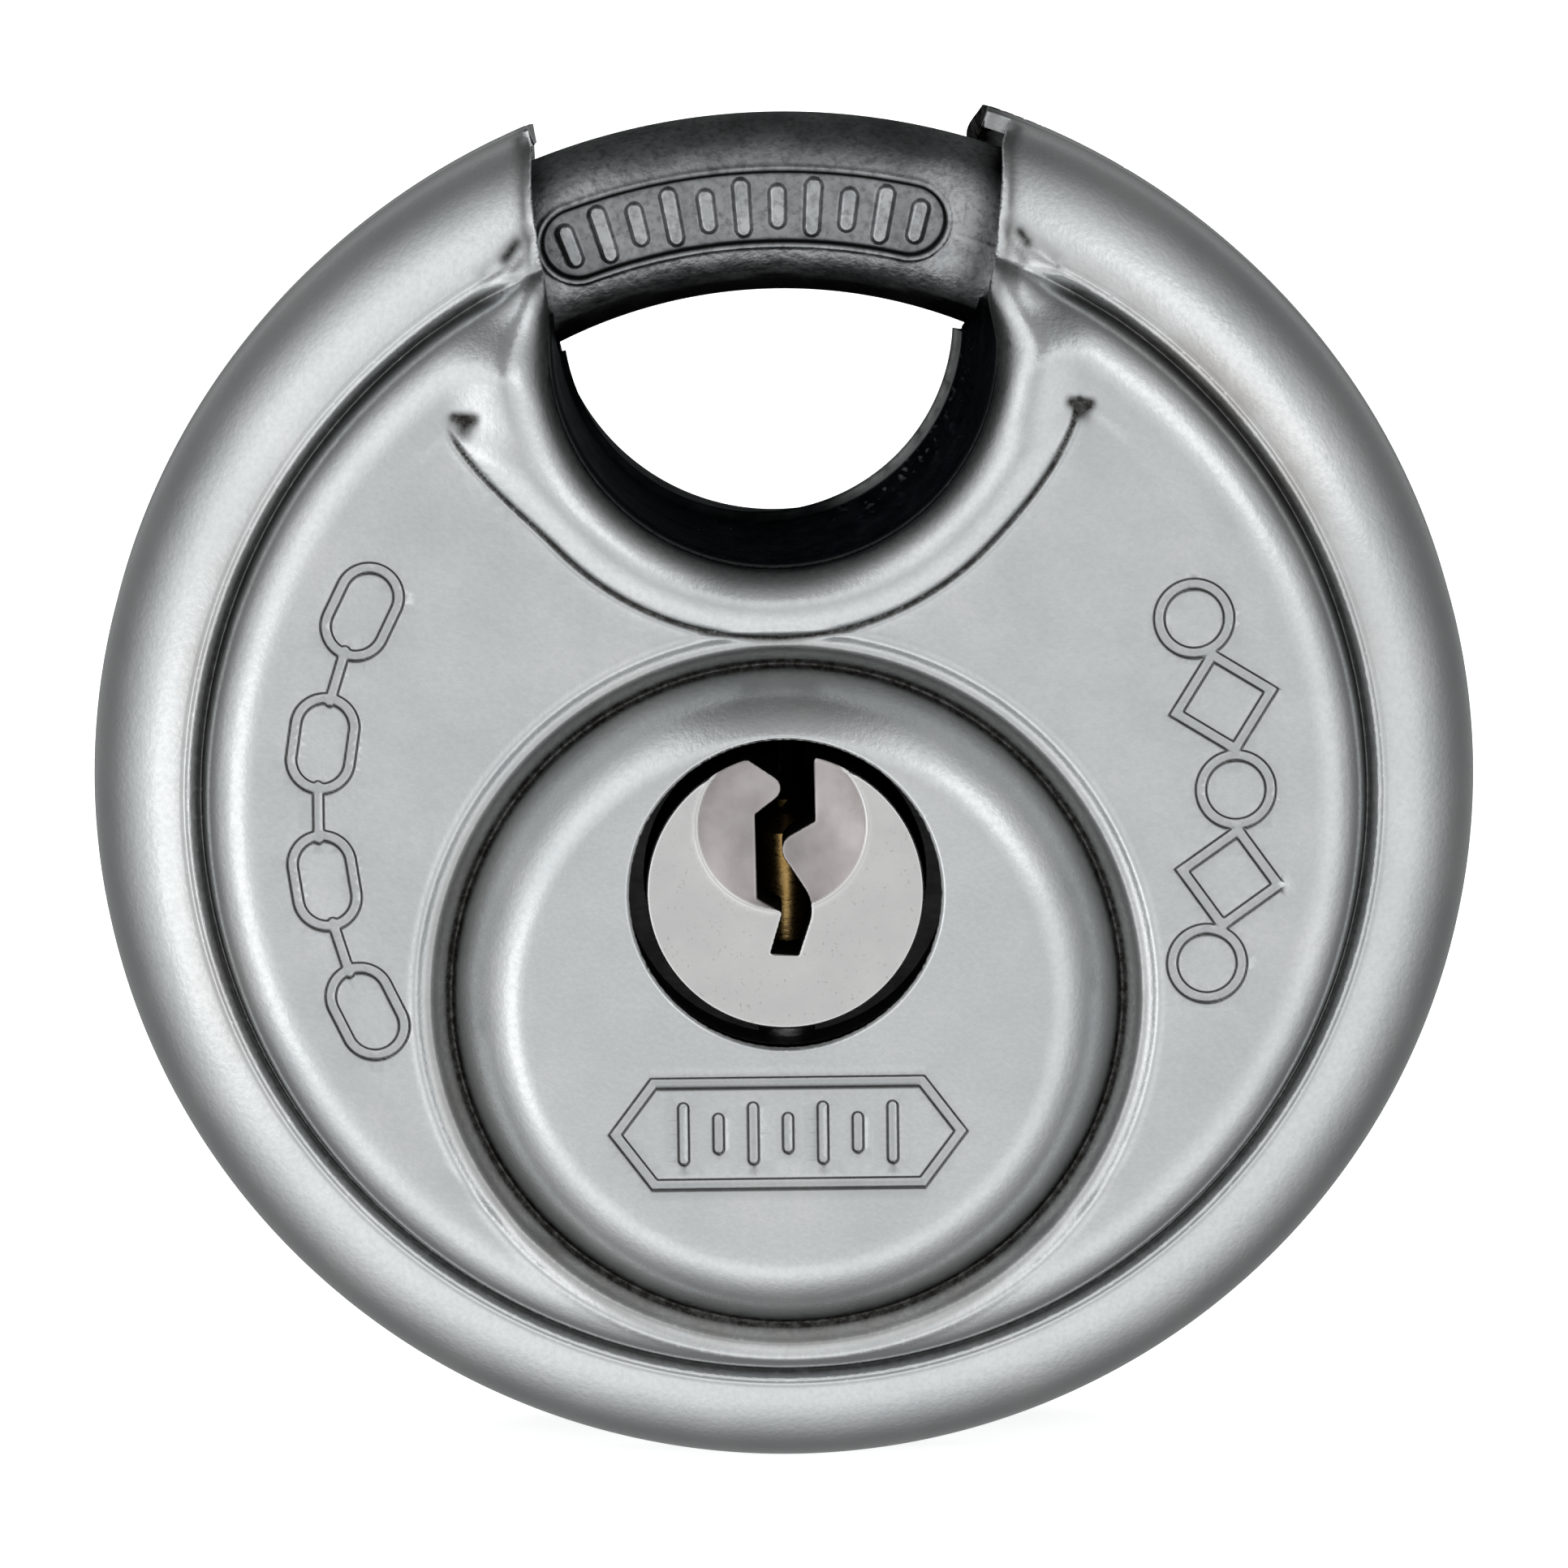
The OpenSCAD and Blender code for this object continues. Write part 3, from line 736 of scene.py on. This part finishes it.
def in_keyway(x, z):
    """Distance outside the keyway, negative in it; x and z count from the plug's axis."""
    far = np.full_like(x, 9.0)
    inside = np.zeros(len(x), bool)
    for (ax, az), (bx, bz) in zip(WARDS, WARDS[1:] + WARDS[:1]):
        far = np.minimum(far, segment(x, z, ax, az, bx, bz))
        crosses = (az > z) != (bz > z)
        inside ^= crosses & (x < (bx - ax) * (z - az) / (bz - az + 1e-12) + ax)
    return np.where(inside, -far, far)


def plug_plan():
    """The plug's face in plan, about its axis: points and triangles, without the keyway."""
    pitch = 0.06 if FINE else 0.12
    square = grid((-FACE_RADIUS, -FACE_RADIUS), (FACE_RADIUS, FACE_RADIUS), pitch)
    square = square[np.hypot(*square.T) < FACE_RADIUS - 0.16]
    outside = in_keyway(*square.T)
    to_dish = np.abs(np.hypot(square[:, 0] - DISH[0], square[:, 1] - DISH[1]) - DISH_RADIUS)
    coarse = (np.round(square / pitch).astype(int) % 3 == 0).all(axis=1)
    square = square[(outside > 0.03) & ((outside < 0.2) | (to_dish < 0.15) | coarse)]
    edge = np.array(WARDS)
    edge = edge[np.hypot(*edge.T) < FACE_RADIUS - 0.02]
    rim = rings((0, 0), FACE_RADIUS - np.array([0, 0.02, 0.05, 0.09, 0.14]), 240)
    points = np.vstack([edge, square] + [ring[in_keyway(*ring.T) > 0.01] for ring in rim])
    plan, faces = triangulated(points, [], lambda x, z: in_keyway(x, z) > 0.004, True)
    used, faces = np.unique(faces, return_inverse=True)
    return plan[used], faces.reshape(-1, 3)


def plug_face():
    """The plug: a satin face with a round dish and a warded keyway, its walls, pin bores and tail."""
    plan, faces = plug_plan()
    dish = np.hypot(plan[:, 0] - DISH[0], plan[:, 1] - DISH[1])
    ball = (DISH_RADIUS**2 + DISH_DEPTH**2) / (2 * DISH_DEPTH)
    sunk = np.maximum(DISH_DEPTH - ball + np.sqrt(np.maximum(ball**2 - dish**2, 0)), 0)
    bevel = 0.1 * (1 - ramp(FACE_RADIUS - np.hypot(*plan.T), -0.06, 0.1))
    bevel = bevel + 0.06 * (1 - ramp(in_keyway(*plan.T), -0.05, 0.08))
    bevel = bevel - 0.03 * dent(dish - DISH_RADIUS - 0.04, 0.06)
    front = np.column_stack([plan[:, 0], -(PLUG_DEPTH - sunk - bevel), plan[:, 1] + PLUG_Z])
    back = front.copy()
    back[:, 1] = KEYWAY_BACK
    count = len(plan)
    edges = outer_edges(faces)
    # The walls start with a short clean band, and further in they are painted nearly black as shade.
    rim = np.unique(edges)
    band = front[rim] + (0, CLEAN_BAND, 0)
    deep = {int(v): 2 * count + i for i, v in enumerate(rim)}
    quads = [(b, a, deep[a], deep[b]) for a, b in edges.tolist()]
    quads += [(deep[b], deep[a], a + count, b + count) for a, b in edges.tolist()]
    rear = [(c + count, b + count, a + count) for a, b, c in faces.tolist()]

    obj = new_mesh("key_plug", np.vstack([front, back, band]) * MM, faces.tolist() + quads + rear)
    point_values(obj, "dish", 1 - ramp(dish, DISH_RADIUS - 0.08, DISH_RADIUS - 0.01))
    point_values(obj, "inside", np.concatenate([np.zeros(count), np.ones(count + len(rim))]))
    cut_away(obj, pin_drill())
    rear_wall = turned_piece("rear_wall", ((KEYWAY_BACK, FACE_RADIUS), (PLUG_BACK, FACE_RADIUS)), FACE_RADIUS)
    cut_away(rear_wall, pin_drill())
    for piece in (rear_wall, turned_piece("tail", TAIL, STUB_HALF_FLAT)):
        join_pieces(obj, piece)
    # The drilled bores get the same painted shade as the keyway's walls.
    inside = obj.data.attributes["inside"].data
    for vertex, dark in zip(obj.data.vertices, inside):
        dark.value = max(dark.value, float(vertex.co.y / MM > DISH_DEPTH + 0.5 - PLUG_DEPTH))
    return obj


def pin_drill():
    """The four pin bores as solids, from below the plug up into the keyway."""
    drill = bmesh.new()
    height = BORE_TOP - SHEAR_Z + 1
    for y in STACKS:
        place = Matrix.Translation((0, y, BORE_TOP - height / 2))
        bmesh.ops.create_cone(drill, cap_ends=True, segments=40, radius1=BORE_RADIUS, radius2=BORE_RADIUS,
                              depth=height, matrix=place)
    drill.transform(Matrix.Scale(MM, 4))
    return drill


def turned_piece(name, profile, half_flat, sides=96):
    """A solid turned about the plug's axis through (y, radius) steps, with flats above and below."""
    turn = np.arange(sides) * 2 * math.pi / sides
    steps = []
    for y, radius in profile:
        z = np.clip(radius * np.sin(turn), -half_flat, half_flat)
        steps.append(np.column_stack([radius * np.cos(turn), np.full(sides, y), z + PLUG_Z]))
    last = sides * (len(steps) - 1)
    ends = [tuple(range(sides))[::-1], tuple(last + i for i in range(sides))]
    faces = strip_faces(len(steps), sides, closed=True) + ends
    obj = new_mesh(name, np.vstack(steps) * MM, faces, smooth=False)
    point_values(obj, "dish", np.zeros(sides * len(steps)))
    point_values(obj, "inside", np.ones(sides * len(steps)))
    return obj


def join_pieces(obj, piece):
    """Adds one object's mesh to another's, and removes it."""
    def numbers(name):
        return np.concatenate([[v.value for v in o.data.attributes[name].data] for o in (obj, piece)])

    values = {name: numbers(name) for name in ("dish", "inside")}
    both = bmesh.new()
    both.from_mesh(obj.data)
    both.from_mesh(piece.data)
    both.to_mesh(obj.data)
    both.free()
    for name, kept in values.items():
        obj.data.attributes.remove(obj.data.attributes[name])
        point_values(obj, name, kept)
    bpy.data.objects.remove(piece)


liner = throat_liner()
shackle = forged_bar()
plug = plug_face()

# ---- materials

class Graph:
    """Short calls for building a node graph."""

    def __init__(self, owner):
        owner.use_nodes = True
        self.tree = owner.node_tree

    def add(self, kind, **settings):
        node = self.tree.nodes.new(kind)
        for key, value in settings.items():
            setattr(node, key, value)
        return node

    def link(self, source, target):
        self.tree.links.new(source, target)
        return source

    def spread(self, value, low, high, to_low=0.0, to_high=1.0, kind="LINEAR"):
        node = self.add("ShaderNodeMapRange", interpolation_type=kind)
        self.link(value, node.inputs["Value"])
        for key, number in zip(("From Min", "From Max", "To Min", "To Max"), (low, high, to_low, to_high)):
            node.inputs[key].default_value = number
        return node.outputs["Result"]

    def math(self, kind, *values):
        node = self.add("ShaderNodeMath", operation=kind)
        for socket, value in zip(node.inputs, values):
            if isinstance(value, (int, float)):
                socket.default_value = value
            else:
                self.link(value, socket)
        return node.outputs["Value"]


class Nodes(Graph):
    """One material's node graph."""

    def __init__(self, name):
        self.material = bpy.data.materials.new(name)
        super().__init__(self.material)
        self.shader = self.tree.nodes["Principled BSDF"]
        self.place = self.add("ShaderNodeTexCoord").outputs["Object"]

    def noise(self, scale, detail=3.0, rough=0.55, stretch=None):
        node = self.add("ShaderNodeTexNoise")
        node.inputs["Scale"].default_value = scale
        node.inputs["Detail"].default_value = detail
        node.inputs["Roughness"].default_value = rough
        place = self.place
        if stretch:
            mapping = self.add("ShaderNodeMapping")
            mapping.inputs["Scale"].default_value = stretch
            self.link(place, mapping.inputs["Vector"])
            place = mapping.outputs["Vector"]
        self.link(place, node.inputs["Vector"])
        return node.outputs["Fac"]

    def turning(self, scale, x, z):
        """Fine round tool marks about a point in plan."""
        shift = self.add("ShaderNodeMapping")
        shift.inputs["Location"].default_value = (-x * MM, 0, -z * MM)
        self.link(self.place, shift.inputs["Vector"])
        wave = self.add("ShaderNodeTexWave", wave_type="RINGS", rings_direction="Y")
        wave.inputs["Scale"].default_value = scale
        wave.inputs["Distortion"].default_value = 1.5
        self.link(shift.outputs["Vector"], wave.inputs["Vector"])
        return wave.outputs["Fac"]

    def mix(self, factor, a, b):
        node = self.add("ShaderNodeMix", data_type="RGBA")
        self.link(factor, node.inputs["Factor"])
        for key, value in (("A", a), ("B", b)):
            socket = [s for s in node.inputs if s.name == key and s.type == "RGBA"][0]
            if isinstance(value, tuple):
                socket.default_value = (*value, 1)
            else:
                self.link(value, socket)
        return [s for s in node.outputs if s.type == "RGBA"][0]

    def attribute(self, name):
        return self.add("ShaderNodeAttribute", attribute_name=name).outputs["Fac"]

    def bump(self, height, distance, below=None):
        node = self.add("ShaderNodeBump")
        node.inputs["Distance"].default_value = distance
        self.link(height, node.inputs["Height"])
        if below is not None:
            self.link(below, node.inputs["Normal"])
        return node.outputs["Normal"]

    def metal(self, base, rough, normal, tint):
        return self.set(Base_Color=base, Metallic=1.0, Roughness=rough, Normal=normal, Specular_Tint=tint)

    def set(self, **values):
        for key, value in values.items():
            socket = self.shader.inputs[key.replace("_", " ")]
            if isinstance(value, (int, float)):
                socket.default_value = value
            elif isinstance(value, tuple):
                socket.default_value = (*value, 1)
            else:
                self.link(value, socket)
        return self.material


def case_steel():
    """Satin stainless sheet: fine mottling, dirt and painted shade in the creases and hollows, and a brown
    bloom beside them.
    """
    n = Nodes("case_steel_satin")
    cloud = n.noise(260, 4, 0.6)
    fine = n.noise(5200, 2, 0.6)
    grain = n.noise(1500, 3, 0.6)
    base = n.mix(n.spread(cloud, 0.3, 0.7), (0.60, 0.625, 0.63), (0.69, 0.705, 0.705))
    base = n.mix(n.spread(fine, 0.35, 0.75, 0, 0.35), base, (0.50, 0.525, 0.535))
    bloom = n.math("MULTIPLY", n.attribute("bloom"), n.spread(n.noise(420, 2), 0.35, 0.65, 0.3, 0.9))
    base = n.mix(bloom, base, (0.36, 0.32, 0.285))
    # Dirt and painted shade darken the colour and dim the reflection here.
    dirt_and_shade = n.math("MULTIPLY", n.attribute("dirt_and_shade"), n.spread(n.noise(3400, 3, 0.7), 0.36, 0.6, 0.88, 1.0))
    base = n.mix(dirt_and_shade, base, (0.03, 0.028, 0.026))
    tint = n.mix(dirt_and_shade, (1.0, 1.0, 1.0), (0.06, 0.06, 0.06))
    rough = n.math("ADD", n.spread(cloud, 0.3, 0.7, 0.2, 0.27), n.spread(fine, 0.3, 0.7, -0.03, 0.04))
    rough = n.math("ADD", rough, n.math("MULTIPLY", dirt_and_shade, 0.3))
    normal = n.bump(n.noise(170, 2), 6e-5)
    normal = n.bump(grain, 0.5e-5, normal)
    normal = n.bump(fine, 0.9e-5, normal)
    return n.metal(base, rough, normal, tint)


def forged_steel():
    """The shackle's darker forged steel with rough scale pits; painted shade darkens its underside, outer
    edge, recess and the parts at the mouths, so its top stays brighter.
    """
    n = Nodes("shackle_steel_forged")
    cloud = n.noise(380, 5, 0.65)
    fine = n.noise(3600, 3, 0.65)
    base = n.mix(n.spread(cloud, 0.38, 0.62), (0.36, 0.375, 0.38), (0.54, 0.555, 0.56))
    base = n.mix(n.spread(fine, 0.45, 0.7, 0, 0.7), base, (0.17, 0.175, 0.18))
    # The attribute read here is mostly painted shade, and it darkens both the colour and the reflection.
    dirt_and_shade = n.attribute("dirt_and_shade")
    base = n.mix(dirt_and_shade, base, (0.012, 0.012, 0.012))
    tint = n.mix(dirt_and_shade, (0.9, 0.91, 0.92), (0.08, 0.08, 0.08))
    rough = n.math("ADD", n.spread(cloud, 0.3, 0.7, 0.28, 0.42), n.math("MULTIPLY", dirt_and_shade, 0.25))
    normal = n.bump(fine, 2.2e-5)
    normal = n.bump(n.noise(1100, 3), 3.0e-5, normal)
    return n.metal(base, rough, normal, tint)


def dark_liner():
    """The liner's steel, coloured nearly black as painted shade for the shaded throat, worn bright on its
    pressed ridge.
    """
    n = Nodes("liner_steel_dark")
    scuff = n.noise(900, 4, 0.7)
    scratches = n.spread(n.noise(4200, 1, 0.5, (0.4, 0.3, 1)), 0.58, 0.7, 0, 0.3)
    scored = n.math("MULTIPLY", n.attribute("scored"), scratches)
    worn = n.math("MULTIPLY", n.attribute("worn"), n.spread(scuff, 0.3, 0.5, 0.5, 1.0))
    worn = n.math("MAXIMUM", worn, scored)
    # The near-black colour and the dim reflection are painted shade.
    base = n.mix(n.spread(scuff, 0.4, 0.75, 0, 0.5), (0.018, 0.020, 0.021), (0.05, 0.054, 0.056))
    base = n.mix(worn, base, (0.7, 0.71, 0.71))
    tint = n.mix(worn, (0.3, 0.32, 0.33), (1.0, 1.0, 1.0))
    rough = n.spread(scuff, 0.3, 0.7, 0.34, 0.5)
    normal = n.bump(n.noise(2600, 3), 1.5e-5)
    return n.metal(base, rough, normal, tint)


def plug_metal():
    """Nickel-plated plug, turned smooth, very faintly warm, with fine pits."""
    n = Nodes("plug_nickel")
    cloud = n.noise(600, 3)
    pits = n.noise(7000, 2, 0.5)
    dish = n.attribute("dish")
    base = n.mix(n.spread(cloud, 0.35, 0.65), (0.63, 0.628, 0.622), (0.67, 0.666, 0.658))
    turned_tone = n.mix(n.spread(n.noise(420, 4), 0.35, 0.65), (0.31, 0.285, 0.28), (0.44, 0.41, 0.405))
    base = n.mix(dish, base, turned_tone)
    base = n.mix(n.spread(pits, 0.66, 0.72, 0, 0.5), base, (0.40, 0.39, 0.38))
    # The keyway's walls, the bores and the parts behind the face are painted nearly black as shade, with
    # dimmed reflection.
    inside = n.attribute("inside")
    base = n.mix(inside, base, (0.02, 0.019, 0.018))
    tint = n.mix(inside, (1.0, 1.0, 1.0), (0.05, 0.05, 0.05))
    rough = n.math("ADD", n.spread(cloud, 0.3, 0.7, 0.22, 0.29), n.math("MULTIPLY", dish, 0.08))
    rough = n.math("ADD", rough, n.math("MULTIPLY", inside, 0.3))
    cuts = n.math("MULTIPLY", n.turning(520, DISH[0], DISH[1] + PLUG_Z + 0.9), dish)
    normal = n.bump(cuts, 3e-6, n.bump(n.noise(3000, 2), 4e-6))
    return n.metal(base, rough, normal, tint)


def worked_metal(name, low, high, rough, grain, edge=(1.0, 1.0, 1.0)):
    """An inner part's metal: cloudy colour between two tones, tool-mark grain and pits."""
    n = Nodes(name)
    cloud, fine = n.noise(700, 4, 0.6), n.noise(grain, 3, 0.6, (1, 1, 3))
    base = n.mix(n.spread(cloud, 0.35, 0.65), low, high)
    rough = n.spread(fine, 0.3, 0.7, rough - 0.05, rough + 0.07)
    return n.metal(base, rough, n.bump(fine, 1.5e-5), edge)


FINISHES = {
    "case_steel": case_steel(), "liner_steel": dark_liner(), "shackle_steel": forged_steel(),
    "plug_metal": plug_metal(),
    # The die-cast housing and the hardened disc are coloured nearly black with dimmed reflection, which
    # paints the shade inside the lock into their colour.
    "die_cast": worked_metal("die_cast_zinc", (0.09, 0.09, 0.095), (0.14, 0.14, 0.14), 0.5, 1800,
                             (0.4, 0.4, 0.4)),
    "mechanism_steel": worked_metal("mechanism_steel_ground", (0.46, 0.46, 0.46), (0.58, 0.58, 0.57),
                                    0.36, 3200),
    "brass": worked_metal("pin_brass", (0.56, 0.35, 0.12), (0.70, 0.47, 0.19), 0.3, 3800),
    "spring_steel": worked_metal("spring_wire", (0.5, 0.5, 0.5), (0.6, 0.6, 0.6), 0.25, 5200),
    "hardened": worked_metal("hardened_plate", (0.004, 0.004, 0.005), (0.012, 0.012, 0.013), 0.5, 2400,
                             (0.1, 0.1, 0.1)),
}


def dress(obj, slot_name):
    obj.data.materials.clear()
    obj.data.materials.append(FINISHES[slot_name])
    for polygon in obj.data.polygons:
        polygon.material_index = 0


# ---- the object's pieces on their bodies

for piece, body, node, slot_name in (
    (front_shell, "case", "front_shell", "case_steel"), (back_shell, "case", "back_shell", "case_steel"),
    (liner, "case", "notch_liner", "liner_steel"), (shackle, "shackle", "shackle", "shackle_steel"),
    (plug, "plug", "cylinder_plug", "plug_metal"),
):
    dress(piece, slot_name)
    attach(piece, body)
    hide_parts(node)

INNER_FINISH = {"lock_housing": "die_cast", "anti_drill_disc": "hardened", "chamber_cover": "die_cast",
                "plug_clip": "spring_steel", "driver_arm": "mechanism_steel",
                "arm_dowel": "mechanism_steel", "key_pin": "brass", "driver_pin": "mechanism_steel",
                "pin_spring": "spring_steel"}
for name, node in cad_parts.items():
    kind = name.rstrip("_1234")
    if kind in INNER_FINISH:
        for socket in node.material_slots:
            socket.material = FINISHES[INNER_FINISH[kind]]

# ---- floor, lights and camera

FLOOR_Z = -CASE_RADIUS * MM
floor_mesh = bmesh.new()
bmesh.ops.create_circle(floor_mesh, cap_ends=True, segments=96, radius=4)
floor_data = bpy.data.meshes.new("floor")
floor_mesh.to_mesh(floor_data)
floor_mesh.free()
floor = bpy.data.objects.new("floor", floor_data)
floor.location.z = FLOOR_Z
bpy.context.scene.collection.objects.link(floor)
pale = Nodes("pale_floor")
floor_data.materials.append(pale.set(
    Base_Color=pale.mix(pale.noise(6), (0.93, 0.93, 0.93), (0.95, 0.95, 0.95)), Roughness=0.9,
    Specular_IOR_Level=0.1, Emission_Color=(1.0, 1.0, 1.0), Emission_Strength=0.72))
floor.visible_glossy = False


def soft_light(name, place, size, radiance, aim=(0, 0, 0)):
    """A square-cornered soft light that shows its radiance in the metal, whatever its size."""
    light = bpy.data.lights.new(name, "AREA")
    light.shape = "RECTANGLE"
    light.size, light.size_y = size
    light.energy = radiance * math.pi * size[0] * size[1]
    obj = bpy.data.objects.new(name, light)
    obj.location = place
    obj.rotation_euler = (Vector(aim) - Vector(place)).to_track_quat("-Z", "Y").to_euler()
    obj.visible_camera = False
    bpy.context.scene.collection.objects.link(obj)
    return obj


soft_light("left_light", (-0.75, -0.75, -0.25), (0.5, 0.6), 0.4)
soft_light("right_light", (0.7, -0.7, 0.45), (0.5, 0.5), 0.4)
soft_light("top_light", (0.0, -0.1, 1.1), (1.3, 1.1), 2.2).visible_glossy = False

world = bpy.data.worlds.new("studio")
bpy.context.scene.world = world
studio = Graph(world)
# A light tent by angle from the front: bright there, dim round the sides and a little lighter behind.
TENT = ((0, 0.72), (10, 0.82), (25, 0.98), (42, 1.16), (58, 1.12), (75, 0.74), (90, 0.46), (105, 0.26),
        (120, 0.2), (140, 0.22), (160, 0.3), (180, 0.2))
parts = studio.add("ShaderNodeSeparateXYZ")
studio.link(studio.add("ShaderNodeTexCoord").outputs["Generated"], parts.inputs[0])
right_way, back_way, up_way = (parts.outputs[axis] for axis in "XYZ")
glow = studio.add("ShaderNodeValToRGB")
while len(glow.color_ramp.elements) > 1:
    glow.color_ramp.elements.remove(glow.color_ramp.elements[0])
for i, (angle, level) in enumerate(TENT):
    spot = (1 - math.cos(angle * DEG)) / 2
    stop = glow.color_ramp.elements.new(spot) if i else glow.color_ramp.elements[0]
    stop.position = spot
    stop.color = (level, level * 1.005, level * 1.01, 1)
studio.link(studio.spread(back_way, -1, 1), glow.inputs["Fac"])

# The tent's top is dark, and its left a little brighter than its right.
squares = (studio.math("MULTIPLY", way, way) for way in (right_way, up_way))
sideways = studio.math("SQRT", studio.math("ADD", *squares))
upward = studio.math("DIVIDE", up_way, studio.math("MAXIMUM", sideways, 0.01))
shade = studio.math("MULTIPLY", studio.spread(upward, 0.86, 0.98, kind="SMOOTHSTEP"),
                    studio.spread(up_way, 0.4, 0.72, 0, 0.66, "SMOOTHSTEP"))
strength = studio.math("MULTIPLY", studio.math("SUBTRACT", 1.0, shade),
                       studio.spread(right_way, -1, 1, 1.08, 0.9, "SMOOTHSTEP"))
plain = studio.tree.nodes["Background"]
studio.link(glow.outputs["Color"], plain.inputs["Color"])
studio.link(strength, plain.inputs["Strength"])
# The camera itself sees plain white.
seen = studio.add("ShaderNodeBackground")
seen.inputs["Color"].default_value = (1, 1, 1, 1)
blend = studio.add("ShaderNodeMixShader")
studio.link(studio.add("ShaderNodeLightPath").outputs["Is Camera Ray"], blend.inputs["Fac"])
studio.link(plain.outputs[0], blend.inputs[1])
studio.link(seen.outputs[0], blend.inputs[2])
studio.link(blend.outputs[0], studio.tree.nodes["World Output"].inputs["Surface"])

CAMERA_DISTANCE, CAMERA_RISE, CAMERA_ROLL = 0.55, 10 * DEG, 0.7 * DEG
FRAME_WIDTH, SENSOR_WIDTH = 0.057, 36
lens = bpy.data.cameras.new("camera")
lens.sensor_width = SENSOR_WIDTH
lens.lens = SENSOR_WIDTH * CAMERA_DISTANCE / FRAME_WIDTH
lens.clip_start = 0.01
camera = bpy.data.objects.new("camera", lens)
aim = Vector((0, 0, -0.47 * MM))
place = aim + CAMERA_DISTANCE * Vector((0, -math.cos(CAMERA_RISE), math.sin(CAMERA_RISE)))
camera.matrix_world = (Matrix.Translation(place) @ (aim - place).to_track_quat("-Z", "Y").to_matrix().to_4x4()
                       @ Matrix.Rotation(-CAMERA_ROLL, 4, "Z"))
bpy.context.scene.collection.objects.link(camera)
bpy.context.scene.camera = camera
bpy.context.scene.view_settings.view_transform = "Standard"
